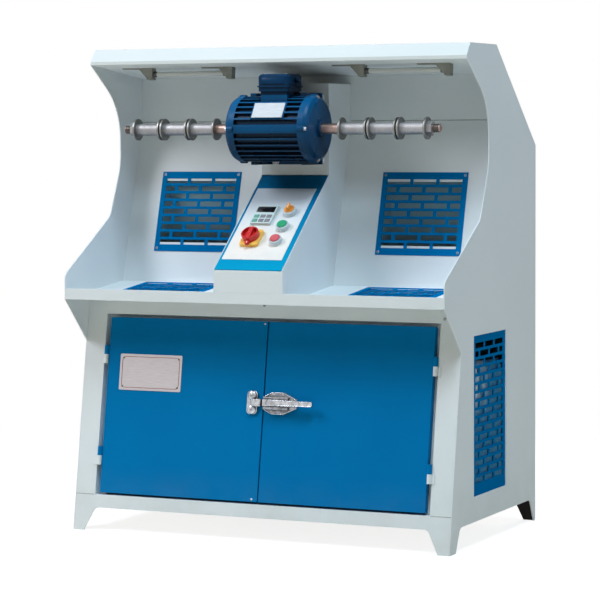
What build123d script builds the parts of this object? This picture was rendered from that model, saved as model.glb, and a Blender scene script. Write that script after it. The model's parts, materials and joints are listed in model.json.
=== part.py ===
from build123d import *
from math import acos, atan2, cos, hypot, radians, sin, tan
import os

# Double-station polishing machine: a sheet-metal cabinet with a double-ended motor arbor,
# two open working bays, a sloped control console and a suction fan behind double doors.
# Millimetres, +Z up, +X to the operator's right, front towards -Y.
# The origin is on the floor, under the middle of the cabinet.

# Cabinet
width = 1200.0            # over the outer faces of the side panels
depth = 734.0             # bench lip to the rear edge of the side panels
height = 1420.0           # top edge of the side panels
panel_t = 3.0             # side panel sheet
sheet_t = 2.0             # every other cabinet sheet
seam_gap = 0.3            # play between sheets that slide into each other
rear_inset = 3.0          # rear covers behind the panel edges

# Side panel profile
lean = 9.2                # lean of the whole front, degrees from vertical
bench_overhang = 34.0     # bench lip in front of the feet
hip_drop = 130.0          # start of the overhang, below the tray
fascia_d = 28.0           # depth of the sloped roof front
fascia_h = 36.0           # height of the sloped roof front
canopy_lip = 10.0         # upright lip under it
canopy_setback = 167.0    # canopy lip behind the bench lip
slope_d = 332.0           # rear slope of the roof, front to back
slope_h = 290.0           # rear slope of the roof, top to bottom
mouth_d = 342.0           # deepest point of the front edge, behind the bench lip
mouth_drop = 127.0        # upper bend of the front edge, below the canopy
mouth_rise = 153.0        # lower bend of the front edge, above the elbow
elbow_d = 272.0           # bend above the bench wing, behind the bench lip
elbow_rise = 203.0        # the same, above the bench lip
wing_rise = 41.0          # front corner of the wing, above the bench lip
mouth_top_round = 0.55    # rounding of each bend, as a share of its shorter edge
mouth_low_round = 0.23
elbow_round = 0.10
wing_round = 0.20

# Base and feet
base_z = 106.0            # seam between the base and the cabinet
apron_z = 68.0            # lower edge of the aprons
foot_len = 47.0           # side of a front foot at the floor
rear_foot_len = 14.0      # side of a rear foot at the floor
leg_flare = 34.0          # how much each leg widens up to the apron
foot_w = 33.0             # face of a foot at the floor
leg_r = 20.0              # radius where a leg runs into its apron

# Bench tray
bench_z = 722.0           # tray floor at the back wall
bench_d = 345.0           # tray from the lip to the back wall
bench_fall = 34.0         # fall of the tray towards the lip
lip_h = 30.0
lip_hem = 12.0            # inward return on top of the lip

# Back wall and ceiling of the bays
chamber_d = 254.0         # suction chamber behind the upright wall
knee_drop = 215.0         # bend of the wall, below the top of the cabinet
wall_skirt = 22.0         # back wall below the tray floor
ceiling_fall = 35.0       # fall of the ceiling towards the back

# Perforated covers, with slots laid like bricks
grille_t = 2.0
slot_h = 16.0
slot_web = 10.0           # sheet left between two slots of a row
slot_row = 24.0           # row to row
row_slots = 3             # whole slots in a row
back_grille_w = 268.0
back_grille_h = 249.0
back_grille_x = 367.0     # centre, left and right of the middle
back_grille_rise = 211.0  # its centre above the tray
bench_grille_d = 192.0
bench_grille_gap = 23.0   # bench cover to the back wall, along the tray
grille_margin = 16.0      # plain border of a cover
grille_land = 28.0        # cover on the sheet above and below its opening
grille_side_land = 12.0   # the same, left and right of the opening
bench_land = 25.0         # the same, in front of and behind a bench opening
side_grille_in = 351.0    # centre of the side opening, behind the bench lip
side_grille_rise = 262.0  # the same, above the base
side_grille_w = 260.0
side_grille_h = 457.0
side_land = 25.0          # side cover on the panel around its opening
side_border = 20.0        # plain border beside the slots, seen in the opening
side_border_top = 35.0    # the same, above the slots
side_border_low = 21.0    # the same, below the slots

# Doors and door frame
post_w = 63.0             # face of the posts beside the doors
door_gap = 4.0            # between the two doors
door_foot_gap = 7.0       # between the doors and the base
rail_drop = 61.0          # top of the doors, below the tray at the lip
rail_gap = 10.0           # between the doors and the top rail
jamb_gap = 15.0           # hinge gap between a door and its post
door_t = 20.0             # depth of the folded door pan
door_sheet = 1.5
door_corner = 3.0
jamb_depth = 25.0         # return of the frame beside the doors
stop_w = 24.0             # flange that the doors close against
hinge_low = 107.0         # lower hinge, above the door's foot
hinge_high = 110.0        # upper hinge, below the door's top
knuckle_len = 27.0
knuckle_r = 6.5
hinge_pin_r = 3.0
hinge_leaf = 8.0          # leaf of a hinge on its door or post
pin_play = 0.05           # running fit of pins and shafts
knuckle_play = 0.4        # between the two knuckles of a hinge
hinge_out = 2.0           # hinge axis in front of the door face
plate_w = 206.0           # blank plate on the left door
plate_h = 107.0
plate_t = 1.5
plate_r = 4.0
plate_in = 41.0           # plate to the door's hinge edge
plate_drop = 159.5        # its centre below the door's top

# Door latch
latch_drop = 232.0        # latch below the door's top
keeper_in = 49.0          # outer end of the keeper, from the door's edge
keeper_w = 33.0
keeper_h = 68.0
keeper_t = 5.0
keeper_r = 12.0
nose_h = 22.0             # keeper nose beside the gap
nose_t = 17.0
nose_r = 5.0
latch_gap = 0.6           # latch and keeper set back from the door edges
latch_w = 106.0           # base of the latch
latch_h = 64.0
latch_t = 7.0
latch_corner = 5.0
latch_taper = 13.0        # narrowing beside the gap
latch_front = 26.0        # length of that narrowing
latch_back = 42.0         # length of the tapered end
latch_end_h = 26.0        # height of the tapered end
latch_floor = 1.0         # base left under the lever
pivot_in = 15.0           # lever pivot, from the door's edge
pivot_out = 17.0          # lever pivot in front of the door
pivot_r = 3.5
hub_r = 9.0
cheek_t = 8.0
cheek_len = 66.0          # cheeks beyond the pivot
cheek_end = 15.0          # height of the cheeks at their end
lever_play = 0.5          # lever between the cheeks
lever_w = 20.0            # lever at its hub
lever_len = 150.0         # pivot to the tip of the handle
lever_nose = 11.0         # lever beyond its pivot, towards the keeper
tail_l = 36.0             # straight handle
tail_w = 15.0
tail_t = 8.0
tail_break = 4.0
tail_out = 30.0           # handle tip in front of the door

# Pedestal, console and motor column
pedestal_w = 218.0
console_d = 321.0         # bench lip to the face of the column
console_rise = 66.0       # lower edge of the console above the bench lip
console_clear = 31.0      # motor feet to the upper edge of the console
column_clear = 25.0       # top of the column below the ceiling
console_t = 3.0
console_side = 1.0        # play beside the console panel
ledge_w = 16.0            # folded ledge under each side of the console panel

# Controls, measured along the slope from the lower edge of the console
legend_side = 11.0        # border beside the legend plate
legend_x = -3.5
legend_low = 42.0         # border below the legend plate
legend_high = 63.0        # border above the legend plate
legend_t = 1.2
keypad_w = 66.0
keypad_h = 80.0
keypad_t = 9.0
keypad_r = 5.0
keypad_x = -30.0
keypad_up = 229.0
display_w = 58.0
display_h = 25.0
display_rise = 19.5       # display above the middle of the keypad
display_depth = 1.0
key_w = 16.0
key_h = 13.0
key_t = 4.0
key_r = 1.6
key_pitch_x = 20.0
key_pitch_v = 18.0
key_drop = 10.0           # upper row of keys below the middle of the keypad
key_play = 0.35
key_proud = 2.0
key_travel = 0.8
bezel_r = 19.0
bezel_h = 15.0
button_r = 15.0
button_h = 19.0           # button top above the legend plate
button_travel = 4.0
button_x = 47.0
start_up = 179.0
stop_up = 118.0
selector_up = 244.0
selector_l = 24.0
selector_w = 10.0
selector_h = 29.0
control_play = 0.4
stem_r = 6.0
stem_len = 28.0
switch_x = -33.0          # main switch
switch_up = 128.0
switch_plate_w = 58.0
switch_plate_h = 66.0
switch_plate_t = 11.0
switch_plate_r = 8.0
switch_knob_r = 26.0
switch_knob_t = 17.5
switch_rim = 4.0          # wall around the hollows of the knob
switch_hollow = 11.0      # depth of the hollows on both sides of the grip
switch_grip_w = 13.0
switch_pointer_out = 13.0 # pointer beyond the knob
switch_pointer_w = 12.0
switch_pointer_t = 8.0
edge_break = 2.0          # chamfer on the edges of the controls

# Motor
axis_drop = 157.0         # motor axis below the ceiling at the back
shaft_height = 100.0      # motor axis to its feet
motor_plate_t = 11.0
plate_margin = 6.0        # motor plate short of the feet
motor_len = 266.0         # over both end shields
shield_len = 32.0
shield_r = 95.0
shield_edge = 14.0        # bevelled corner, along the axis
shield_slant = 7.0        # the same, towards the axis
shield_lip = 6.0          # spigot of a shield in the frame
frame_r = 84.0            # motor frame under the fins
fin_h = 11.0
fin_t = 5.0
mid_fin_t = 15.0          # broad fin at the front
fin_count = 30
fin_root = 4.0            # fins sunk into the frame
stator_r = 70.0
rotor_r = 45.0
air_gap = 0.4
core_len = 150.0
coil_len = 14.0           # winding heads beyond the core
coil_wall = 6.0
foot_pad_l = 188.0
foot_pad_t = 13.0
foot_pad_h = 44.0
foot_reach = 104.0        # foot edge above and below the axis
foot_web_t = 18.0
foot_web_in = 20.0        # webs of the feet, from the ends of the frame
boss_r = 24.0
boss_len = 8.0
bearing_r = 31.0
bearing_w = 16.0
box_x = 5.0               # terminal box
box_w = 98.0
box_h = 50.0
box_r = 10.0
box_break = 7.0
box_neck = 84.0
box_neck_h = 10.0
box_lid_h = 34.0
box_rim = 4.0
box_seat = 3.0            # flat under the box, above the fins
gland_r = 8.0
gland_len = 14.0
tag_w = 96.0              # blank plate on the motor
tag_h = 50.0
tag_t = 1.5
tag_pad = 4.0             # pad of the frame around the plate
tag_angle = 34.0          # place of the plate, degrees above the front

# Arbor
shaft_r = 15.0
seat_r = 12.5             # stepped part under the flanges
thread_r = 12.0           # under the nuts
tip_r = 11.5              # free ends beyond the nuts
tip_len = 23.0
tip_break = 2.0
shoulder_x = 199.0        # step that backs the first flange
stations = 3              # wheel places on each side
flange_r = 32.0
flange_t = 5.0
flange_hub_r = 18.5
flange_hub = 2.5
spacer_r = 17.5
spacer_len = 76.0
nut_w = 36.0              # across flats
nut_t = 15.0

# Lamps under the canopy
lamp_x = (-308.5, 379.5)
lamp_len = 247.0
lamp_in = 88.0            # lamps behind the canopy lip
tube_r = 8.0
tube_drop = 18.0          # tube centre below the ceiling
holder_w = 18.0
holder_d = 24.0
holder_h = 34.0
gusset_l = 28.0           # bracket beside each holder
gusset_t = 3.0
strip_l = 84.0            # strip that carries the bracket
strip_w = 14.0
strip_t = 3.0

# Partition and filter bags in the lower cabinet
partition_lift = 3.0      # partition above the top rail's edge
bag_in = 197.0            # first bag to the left side panel
bag_pitch = 250.0
bag_back = 297.0          # bags in front of the rear edge
spigot_r = 62.0
spigot_len = 40.0
bag_wall = 3.0
bag_r = 98.0
bag_taper = 60.0
bag_rise = 109.0          # bags above the base
bag_play = 0.3

# Suction fan in the lower cabinet
fan_in = 267.0            # fan axis to the right side panel
fan_rise = 234.0          # fan axis above the base
fan_front = 362.0         # front of the casing behind the bench lip
fan_w = 100.0
fan_r = 150.0
fan_sheet = 2.0
fan_inlet_r = 68.0
fan_outlet_h = 95.0
fan_outlet_gap = 12.0     # outlet to the side panel
fan_stand_w = 40.0
fan_stand_x = 90.0        # stands left and right of the axis
fan_stand_drop = 112.0    # top of the stands below the axis
impeller_r = 112.0
impeller_w = 70.0
impeller_eye_r = 66.0
impeller_in = 8.0         # impeller behind the inlet wall
impeller_disc = 4.0
blade_count = 12
blade_t = 3.0
blade_l = 42.0
blade_angle = 35.0
fan_hub_r = 20.0
fan_hub_l = 40.0
fan_shaft_r = 8.0
fan_shaft_in = 50.0       # shaft inside the fan motor
fan_motor_r = 66.0
fan_motor_len = 150.0
cradle_w = 110.0
cradle_in = 20.0          # cradle from the ends of the fan motor
cradle_drop = 33.0        # top of the cradle below the axis

# Cable entry at the rear
gland_in = 177.0          # from the left side panel
gland_rise = 124.0        # above the base
inlet_r = 12.0
inlet_bore_r = 6.0
inlet_len = 22.0
inlet_nut_r = 17.0
inlet_nut_t = 5.0

# Places that follow from the sizes
half = width / 2
inner = half - panel_t
front_y = -depth / 2
rear_y = depth / 2
foot_y = front_y + bench_overhang
lean_tan = tan(radians(lean))
lean_cos = cos(radians(lean))
bench_low_z = bench_z - bench_fall
lip_top_z = bench_low_z + lip_h
wall_foot_y = front_y + bench_d
wall_y = rear_y - chamber_d
knee_z = height - knee_drop
lip_y = front_y + canopy_setback
canopy_z = height - fascia_h - canopy_lip
ceiling_back_z = canopy_z - ceiling_fall
roof_front_y = lip_y + fascia_d
roof_rear_y = rear_y - slope_d
shoulder_z = height - slope_h
door_w = inner - post_w - jamb_gap - door_gap / 2
door_edge = door_gap / 2 + door_w
door_low_z = base_z + door_foot_gap
door_top_z = bench_low_z - rail_drop
rail_z = door_top_z + rail_gap
post_x = door_edge + jamb_gap
hinge_x = door_edge + jamb_gap / 2
column_y = front_y + console_d
axis_y = column_y - motor_plate_t - shaft_height
axis_z = ceiling_back_z - axis_drop
column_top_z = ceiling_back_z - column_clear
console_top_z = axis_z - foot_reach - console_clear
console_low_z = lip_top_z + console_rise


def front_at(z):
    """Depth of the leaning front at a height."""
    return foot_y + z * lean_tan


def up(z):
    """Distance along the leaning front that reaches a height."""
    return z / lean_cos


tray_rise = bench_fall / bench_d
tray_drop = sheet_t * hypot(1, tray_rise)


def tray_z(y):
    """Height of the bench tray's floor at a depth."""
    return bench_low_z + (y - front_y) * tray_rise


wall_slope = (wall_y - wall_foot_y) / (knee_z - bench_z)


def wall_at(z):
    """Depth of the sloped back wall's face at a height."""
    return wall_foot_y + (z - bench_z) * wall_slope


# Local frames: z points out of the face, y runs up along it
front = Plane(origin=(0, foot_y, 0), x_dir=(1, 0, 0), z_dir=(0, -lean_cos, sin(radians(lean))))
wall_angle = atan2(wall_y - wall_foot_y, knee_z - bench_z)
wall = Plane(
    origin=(0, wall_foot_y, bench_z), x_dir=(1, 0, 0), z_dir=(0, -cos(wall_angle), sin(wall_angle))
)
tray_angle = atan2(bench_fall, bench_d)
tray = Plane(
    origin=(0, wall_foot_y, bench_z), x_dir=(1, 0, 0), z_dir=(0, -sin(tray_angle), cos(tray_angle))
)
console_angle = atan2(console_top_z - console_low_z, console_d)
console_len = hypot(console_top_z - console_low_z, console_d)
console = Plane(
    origin=(0, front_y, console_low_z),
    x_dir=(1, 0, 0),
    z_dir=(0, -sin(console_angle), cos(console_angle)),
)
ceiling_angle = atan2(ceiling_fall, wall_y - lip_y)
ceiling_rate = ceiling_fall / (wall_y - lip_y)
ceiling_face = Plane(
    origin=(0, lip_y, canopy_z), x_dir=(1, 0, 0), z_dir=(0, -sin(ceiling_angle), -cos(ceiling_angle))
)
ON_TOP = (Align.CENTER, Align.CENTER, Align.MIN)


def flat(points):
    """A face in the drawing plane, bounded by straight edges."""
    return make_face(Polyline(*points, close=True))


def prism(points, x0, x1):
    """A profile of (y, z) points, stretched along X."""
    return Pos(x0, 0, 0) * extrude(Plane.YZ * flat(points), x1 - x0, dir=(1, 0, 0))


def round_corner(face, point, radius):
    """Round the corner of a flat face that lies at a point."""
    near = face.vertices().sort_by_distance((point[0], point[1], 0))[0]
    return fillet(near, radius)


def bend_radius(before, here, after, share):
    """Radius that rounds a corner over a share of its shorter edge."""
    ay, az = here[0] - before[0], here[1] - before[1]
    by, bz = after[0] - here[0], after[1] - here[1]
    a, b = hypot(ay, az), hypot(by, bz)
    turn = acos((ay * by + az * bz) / (a * b))
    return share * min(a, b) / tan(turn / 2)


def bent_sheet(points, thickness, x0, x1):
    """A sheet bent along (y, z) points, its thickness laid to the right of the path."""
    shifted = []
    normals = []
    for (ya, za), (yb, zb) in zip(points, points[1:]):
        run = hypot(yb - ya, zb - za)
        normals.append(((zb - za) / run, (ya - yb) / run))
    for i, (y, z) in enumerate(points):
        before = normals[max(i - 1, 0)]
        after = normals[min(i, len(normals) - 1)]
        mid = (before[0] + after[0], before[1] + after[1])
        scale = thickness / (1 + before[0] * after[0] + before[1] * after[1])
        shifted.append((y + mid[0] * scale, z + mid[1] * scale))
    return prism(points + shifted[::-1], x0, x1)


def block(x0, x1, y0, y1, z0, z1):
    """A box between two corners."""
    return Pos((x0 + x1) / 2, (y0 + y1) / 2, (z0 + z1) / 2) * Box(x1 - x0, y1 - y0, z1 - z0)


def rod(x0, x1, radius):
    """A round bar on the motor's axis."""
    bar = Rot(0, 90, 0) * Cylinder(radius, x1 - x0)
    return Pos((x0 + x1) / 2, axis_y, axis_z) * bar


def pipe(x0, x1, outer, bore):
    """A sleeve on the motor's axis."""
    return rod(x0, x1, outer) - rod(x0 - bore, x1 + bore, bore)


def mirrored(solid):
    """The same piece on the other side of the middle."""
    return mirror(solid, Plane.YZ)


def brick_cover(w, h, inside_w, inside_h, drop=0.0):
    """A perforated sheet with rows of slots in a field, each row half a slot off the next."""
    rows = int((inside_h - slot_h) / slot_row + 0.01) + 1
    pitch = (inside_w + slot_web) / row_slots
    low = -drop - (rows - 1) * slot_row / 2
    holes = Sketch()
    for row in range(rows):
        edges = [-inside_w / 2 + i * pitch for i in range(row_slots + 1)]
        if row % 2:
            middles = [e + pitch / 2 for e in edges[:-1]]
            edges = [edges[0]] + middles + [edges[-1]]
        for left, right in zip(edges, edges[1:]):
            spot = Pos((left + right - slot_web) / 2, low + row * slot_row)
            holes += spot * Rectangle(right - left - slot_web, slot_h)
    return extrude(Rectangle(w, h) - holes, grille_t)


nodes = {}


# Side panels: one flat sheet each, from the feet to the canopy
def side_outline():
    hip_z = bench_low_z - sheet_t - hip_drop
    heel = foot_y + foot_len
    rear_heel = rear_y - rear_foot_len
    knee_front = (heel + leg_flare, apron_z)
    knee_rear = (rear_heel - leg_flare, apron_z)
    mouth_y = front_y + mouth_d
    elbow_z = lip_top_z + elbow_rise
    canopy = (lip_y, canopy_z)
    mouth_top = (mouth_y, canopy_z - mouth_drop)
    mouth_low = (mouth_y, elbow_z + mouth_rise)
    elbow = (front_y + elbow_d, elbow_z)
    wing = (front_y, lip_top_z + wing_rise)
    chin = (front_y, bench_low_z - sheet_t)
    face = flat(
        [
            (foot_y, 0),
            (heel, 0),
            knee_front,
            knee_rear,
            (rear_heel, 0),
            (rear_y, 0),
            (rear_y, shoulder_z),
            (roof_rear_y, height),
            (roof_front_y, height),
            (lip_y, canopy_z + canopy_lip),
            canopy,
            mouth_top,
            mouth_low,
            elbow,
            wing,
            chin,
            (front_at(hip_z), hip_z),
        ]
    )
    bends = (
        (mouth_top, bend_radius(canopy, mouth_top, mouth_low, mouth_top_round)),
        (mouth_low, bend_radius(mouth_top, mouth_low, elbow, mouth_low_round)),
        (elbow, bend_radius(mouth_low, elbow, wing, elbow_round)),
        (wing, bend_radius(elbow, wing, chin, wing_round)),
        (knee_front, leg_r),
        (knee_rear, leg_r),
    )
    for point, radius in bends:
        face = round_corner(face, point, radius)
    return face


side_sheet = Pos(inner, 0, 0) * extrude(Plane.YZ * side_outline(), panel_t, dir=(1, 0, 0))
side_spot = Plane(
    origin=(inner, front_y + side_grille_in, base_z + side_grille_rise), x_dir=(0, 1, 0), z_dir=(-1, 0, 0)
)
nodes["side_panel_left"] = mirrored(side_sheet)
nodes["side_panel_right"] = side_sheet - side_spot * Box(side_grille_w, side_grille_h, 4 * panel_t)

# Vent cover behind the window of the right panel
nodes["side_grille"] = side_spot * brick_cover(
    side_grille_w + 2 * side_land,
    side_grille_h + 2 * side_land,
    side_grille_w - 2 * side_border,
    side_grille_h - side_border_top - side_border_low,
    (side_border_top - side_border_low) / 2,
)


# Base: a front and a rear apron, each with a tapered leg at both ends
def apron(plane, face_up):
    side = face_up(apron_z)
    top = face_up(base_z) + sheet_t
    leg_top = inner - foot_w - leg_flare
    face = flat(
        [
            (-inner, -sheet_t),
            (-inner + foot_w, -sheet_t),
            (-inner + foot_w, 0),
            (-leg_top, side),
            (leg_top, side),
            (inner - foot_w, 0),
            (inner - foot_w, -sheet_t),
            (inner, -sheet_t),
            (inner, top),
            (-inner, top),
        ]
    )
    for sign in (-1, 1):
        face = round_corner(face, (sign * leg_top, side), leg_r)
    return (plane * extrude(face, -sheet_t)) & block(-half, half, front_y, rear_y, 0, base_z)


back_y = rear_y - rear_inset
rear_face = Plane(origin=(0, back_y, 0), x_dir=(-1, 0, 0), z_dir=(0, 1, 0))
nodes["base_front"] = apron(front, up)
nodes["base_rear"] = apron(rear_face, float)
pan_front = front_at(base_z) + sheet_t / lean_cos + seam_gap
pan_rear = back_y - sheet_t - seam_gap
nodes["floor_pan"] = block(-inner, inner, pan_front, pan_rear, base_z - sheet_t, base_z)

# Door frame: two posts and a top rail, with a return and a stop flange behind the doors
frame_zone = prism(
    [
        (front_y, base_z),
        (wall_foot_y, base_z),
        (wall_foot_y, bench_z - tray_drop),
        (front_y, bench_low_z - tray_drop),
    ],
    -inner,
    inner,
)


def frame_section(edge, outer):
    """Section of a frame bar: face, return beside the door and stop flange."""
    back = -jamb_depth - sheet_t
    return [
        (outer, 0),
        (edge, 0),
        (edge, -jamb_depth),
        (edge - stop_w, -jamb_depth),
        (edge - stop_w, back),
        (edge + sheet_t, back),
        (edge + sheet_t, -sheet_t),
        (outer, -sheet_t),
    ]


post_base = front * Plane(origin=(0, 0, 0), x_dir=(1, 0, 0), z_dir=(0, 1, 0)).location
post_face = flat([(x, -z) for x, z in frame_section(post_x, inner)])
post = (post_base * extrude(post_face, up(bench_z))) & frame_zone
nodes["post_right"] = post
nodes["post_left"] = mirrored(post)
rail_x = post_x - seam_gap
rail_base = front * Plane(origin=(-rail_x, 0, 0), x_dir=(0, 1, 0), z_dir=(1, 0, 0)).location
rail = (rail_base * extrude(flat(frame_section(up(rail_z), up(bench_z))), 2 * rail_x)) & frame_zone
for sign in (-1, 1):
    notch = Box(stop_w + 2 * seam_gap, 2 * stop_w + sheet_t, 2 * sheet_t)
    rail -= front * Pos(sign * (post_x - stop_w / 2), up(rail_z), -jamb_depth - sheet_t / 2) * notch
nodes["top_rail"] = rail

# Bench tray: sloping floor, upright lip with a hem, and an opening under each cover
tray_end = wall_foot_y - 2 * sheet_t * wall_slope
bench = prism(
    [
        (front_y, bench_low_z - tray_drop),
        (front_y, lip_top_z),
        (front_y + lip_hem, lip_top_z),
        (front_y + lip_hem, lip_top_z - sheet_t),
        (front_y + sheet_t, lip_top_z - sheet_t),
        (front_y + sheet_t, tray_z(front_y + sheet_t)),
        (wall_foot_y, bench_z),
        (tray_end, tray_z(tray_end) - tray_drop),
    ],
    -inner,
    inner,
)
opening_w = back_grille_w - 2 * grille_side_land
field_w = back_grille_w - 2 * grille_margin
bench_opening = Box(opening_w, bench_grille_d - 2 * bench_land, 8 * sheet_t)
bench_cover = brick_cover(back_grille_w, bench_grille_d, field_w, bench_grille_d - 2 * grille_margin)
bench_covers = []
for sign in (-1, 1):
    spot = tray * Pos(sign * back_grille_x, -bench_grille_gap - bench_grille_d / 2, 0)
    bench -= spot * bench_opening
    bench_covers.append(spot * bench_cover)
nodes["bench_tray"] = bench
nodes["bench_grilles"] = Compound(children=bench_covers)

# Back wall of the bays: sloped up from the tray, then upright to the ceiling
skirt_z = bench_z - wall_skirt
wall_top_z = ceiling_back_z - ceiling_rate * sheet_t
back_wall = bent_sheet(
    [(wall_at(skirt_z), skirt_z), (wall_y, knee_z), (wall_y, wall_top_z)], sheet_t, -inner, inner
)
wall_opening = Box(opening_w, back_grille_h - 2 * grille_land, 8 * sheet_t)
wall_cover = brick_cover(back_grille_w, back_grille_h, field_w, back_grille_h - 2 * grille_margin)
back_covers = []
for sign in (-1, 1):
    spot = wall * Pos(sign * back_grille_x, back_grille_rise / cos(wall_angle), 0)
    back_wall -= spot * wall_opening
    back_covers.append(spot * wall_cover)
nodes["back_wall"] = back_wall
nodes["back_grilles"] = Compound(children=back_covers)

# Canopy: ceiling over the bays, then the roof with its fascia and lip
ceiling_front = lip_y + sheet_t + seam_gap
nodes["ceiling"] = bent_sheet(
    [
        (wall_y + sheet_t, wall_top_z),
        (ceiling_front, canopy_z - ceiling_rate * (ceiling_front - lip_y)),
    ],
    sheet_t,
    -inner,
    inner,
)
nodes["roof"] = bent_sheet(
    [(lip_y, canopy_z), (lip_y, canopy_z + canopy_lip), (roof_front_y, height), (roof_rear_y, height)],
    sheet_t,
    -inner,
    inner,
)

# Rear covers: a sloped one under the roof's edge and an upright one down to the base
slope_angle = atan2(slope_h, slope_d)
slope_top = (roof_rear_y - rear_inset * sin(slope_angle), height - rear_inset * cos(slope_angle))
bend_z = slope_top[1] - (back_y - slope_top[0]) * tan(slope_angle)
slope_drop = sheet_t / cos(slope_angle)
nodes["rear_slope"] = prism(
    [slope_top, (back_y, bend_z), (back_y, bend_z - slope_drop), (slope_top[0], slope_top[1] - slope_drop)],
    -inner,
    inner,
)
panel_top = bend_z - slope_drop - seam_gap
rear_panel = prism(
    [
        (back_y, base_z),
        (back_y, panel_top),
        (back_y - sheet_t, panel_top),
        (back_y - sheet_t, base_z),
    ],
    -inner,
    inner,
)
inlet_axis = Pos(gland_in - inner, back_y, base_z + gland_rise) * Rot(-90, 0, 0)
nodes["rear_panel"] = rear_panel - inlet_axis * Cylinder(inlet_r, 4 * sheet_t)

# Cable gland in the rear panel
inlet_body = Pos(0, 0, -inlet_len) * Cylinder(inlet_r - seam_gap, inlet_len, align=ON_TOP)
inlet_nut = Pos(0, 0, -sheet_t) * extrude(RegularPolygon(inlet_nut_r, 6), -inlet_nut_t)
inlet_cap = Cylinder(inlet_nut_r, rear_inset, align=ON_TOP)
inlet_bore = Cylinder(inlet_bore_r, 4 * inlet_len)
nodes["cable_gland"] = inlet_axis * (inlet_body + inlet_nut + inlet_cap - inlet_bore)

# Pedestal: console base and motor column in one folded shell, open at the back and below
half_ped = pedestal_w / 2
shell_x = half_ped - sheet_t
under_drop = console_t / cos(console_angle)
ped_out = prism(
    [
        (front_y, lip_top_z),
        (front_y, console_low_z),
        (column_y, console_top_z),
        (column_y, column_top_z),
        (wall_y, column_top_z),
        (wall_y, knee_z),
        (wall_foot_y, bench_z),
        (front_y + lip_hem, tray_z(front_y + lip_hem)),
        (front_y + lip_hem, lip_top_z),
    ],
    -half_ped,
    half_ped,
)
ped_in = prism(
    [
        (front_y + sheet_t, 0),
        (front_y + sheet_t, console_low_z + 2 * console_t),
        (column_y, console_top_z + 2 * console_t),
        (column_y, console_top_z),
        (column_y + sheet_t, console_top_z),
        (column_y + sheet_t, column_top_z - sheet_t),
        (rear_y, column_top_z - sheet_t),
        (rear_y, 0),
    ],
    -shell_x,
    shell_x,
)
panel_seat = prism(
    [
        (front_y, console_low_z - under_drop),
        (column_y, console_top_z - under_drop),
        (column_y, console_top_z + console_t),
        (front_y, console_low_z + console_t),
    ],
    -shell_x,
    shell_x,
)
pedestal = ped_out - ped_in - panel_seat
ledge_low_z = console_low_z + sheet_t * tan(console_angle) - under_drop
ledge_drop = sheet_t / cos(console_angle)
ledge = [
    (front_y + sheet_t, ledge_low_z),
    (column_y, console_top_z - under_drop),
    (column_y, console_top_z - under_drop - ledge_drop),
    (front_y + sheet_t, ledge_low_z - ledge_drop),
]
pedestal += prism(ledge, shell_x - ledge_w, shell_x)
pedestal += prism(ledge, -shell_x, ledge_w - shell_x)
nodes["pedestal"] = pedestal

# Console: blue panel on the slope, white legend plate and the holes of the controls
panel_w = 2 * (shell_x - console_side)
panel_len = console_len - console_t * tan(console_angle) - seam_gap
legend_w = panel_w - 2 * legend_side
legend_len = console_len - legend_low - legend_high
stem_hole = Cylinder(stem_r + control_play, 4 * stem_len)
spots = {
    "start": Pos(button_x, start_up, 0),
    "stop": Pos(button_x, stop_up, 0),
    "selector": Pos(button_x, selector_up, 0),
    "switch": Pos(switch_x, switch_up, 0),
}
console_panel = Pos(0, panel_len / 2, -console_t / 2) * Box(panel_w, panel_len, console_t)
legend = Pos(legend_x, legend_low + legend_len / 2, legend_t / 2) * Box(legend_w, legend_len, legend_t)
for spot in spots.values():
    console_panel -= spot * stem_hole
    legend -= spot * stem_hole
nodes["console_panel"] = console * console_panel
nodes["legend_plate"] = console * legend

# Keypad of the speed controller: raised body, sunk display window and six keys
keypad_top = legend_t + keypad_t
keypad = Pos(keypad_x, keypad_up, legend_t) * extrude(RectangleRounded(keypad_w, keypad_h, keypad_r), keypad_t)
keypad -= Pos(keypad_x, keypad_up + display_rise, keypad_top) * Box(display_w, display_h, 2 * display_depth)
key_floor = keypad_top + key_proud - key_t
pocket_depth = 2 * (key_t - key_proud + key_travel + seam_gap)
key_cap = chamfer(extrude(Rectangle(key_w, key_h), key_t).faces().sort_by(Axis.Z)[-1].edges(), key_r)
for number in range(6):
    key_up = keypad_up - key_drop - number // 3 * key_pitch_v
    spot = Pos(keypad_x + (number % 3 - 1) * key_pitch_x, key_up, 0)
    keypad -= spot * Pos(0, 0, keypad_top) * Box(key_w + 2 * key_play, key_h + 2 * key_play, pocket_depth)
    nodes[f"key_{number + 1}"] = console * spot * Pos(0, 0, key_floor) * key_cap
nodes["keypad"] = console * keypad


def turned(profile):
    """A solid turned about the local z axis from (radius, height) points."""
    return revolve(Plane.XZ * flat(profile), Axis.Z)


# Push buttons and selector in round collars
collar_top = legend_t + bezel_h
collar_bore = button_r + control_play
collar = turned(
    [
        (collar_bore, legend_t),
        (bezel_r, legend_t),
        (bezel_r, collar_top - edge_break),
        (bezel_r - edge_break, collar_top),
        (collar_bore, collar_top),
    ]
)
nodes["control_collars"] = Compound(
    children=[console * spots[name] * collar for name in ("start", "stop", "selector")]
)
button_low = legend_t + button_travel + control_play
button_top = legend_t + button_h
button = turned(
    [
        (0, button_low - stem_len),
        (stem_r, button_low - stem_len),
        (stem_r, button_low),
        (button_r, button_low),
        (button_r, button_top - edge_break),
        (button_r - edge_break, button_top),
        (0, button_top),
    ]
)
nodes["start_button"] = console * spots["start"] * button
nodes["stop_button"] = console * spots["stop"] * button
selector_low = legend_t + control_play
selector_disc = collar_top + edge_break
selector = turned(
    [
        (0, selector_low - stem_len),
        (stem_r, selector_low - stem_len),
        (stem_r, selector_low),
        (button_r, selector_low),
        (button_r, selector_disc),
        (0, selector_disc),
    ]
)
selector_grip = extrude(SlotOverall(selector_l, selector_w, rotation=90), legend_t + selector_h - selector_disc)
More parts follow.
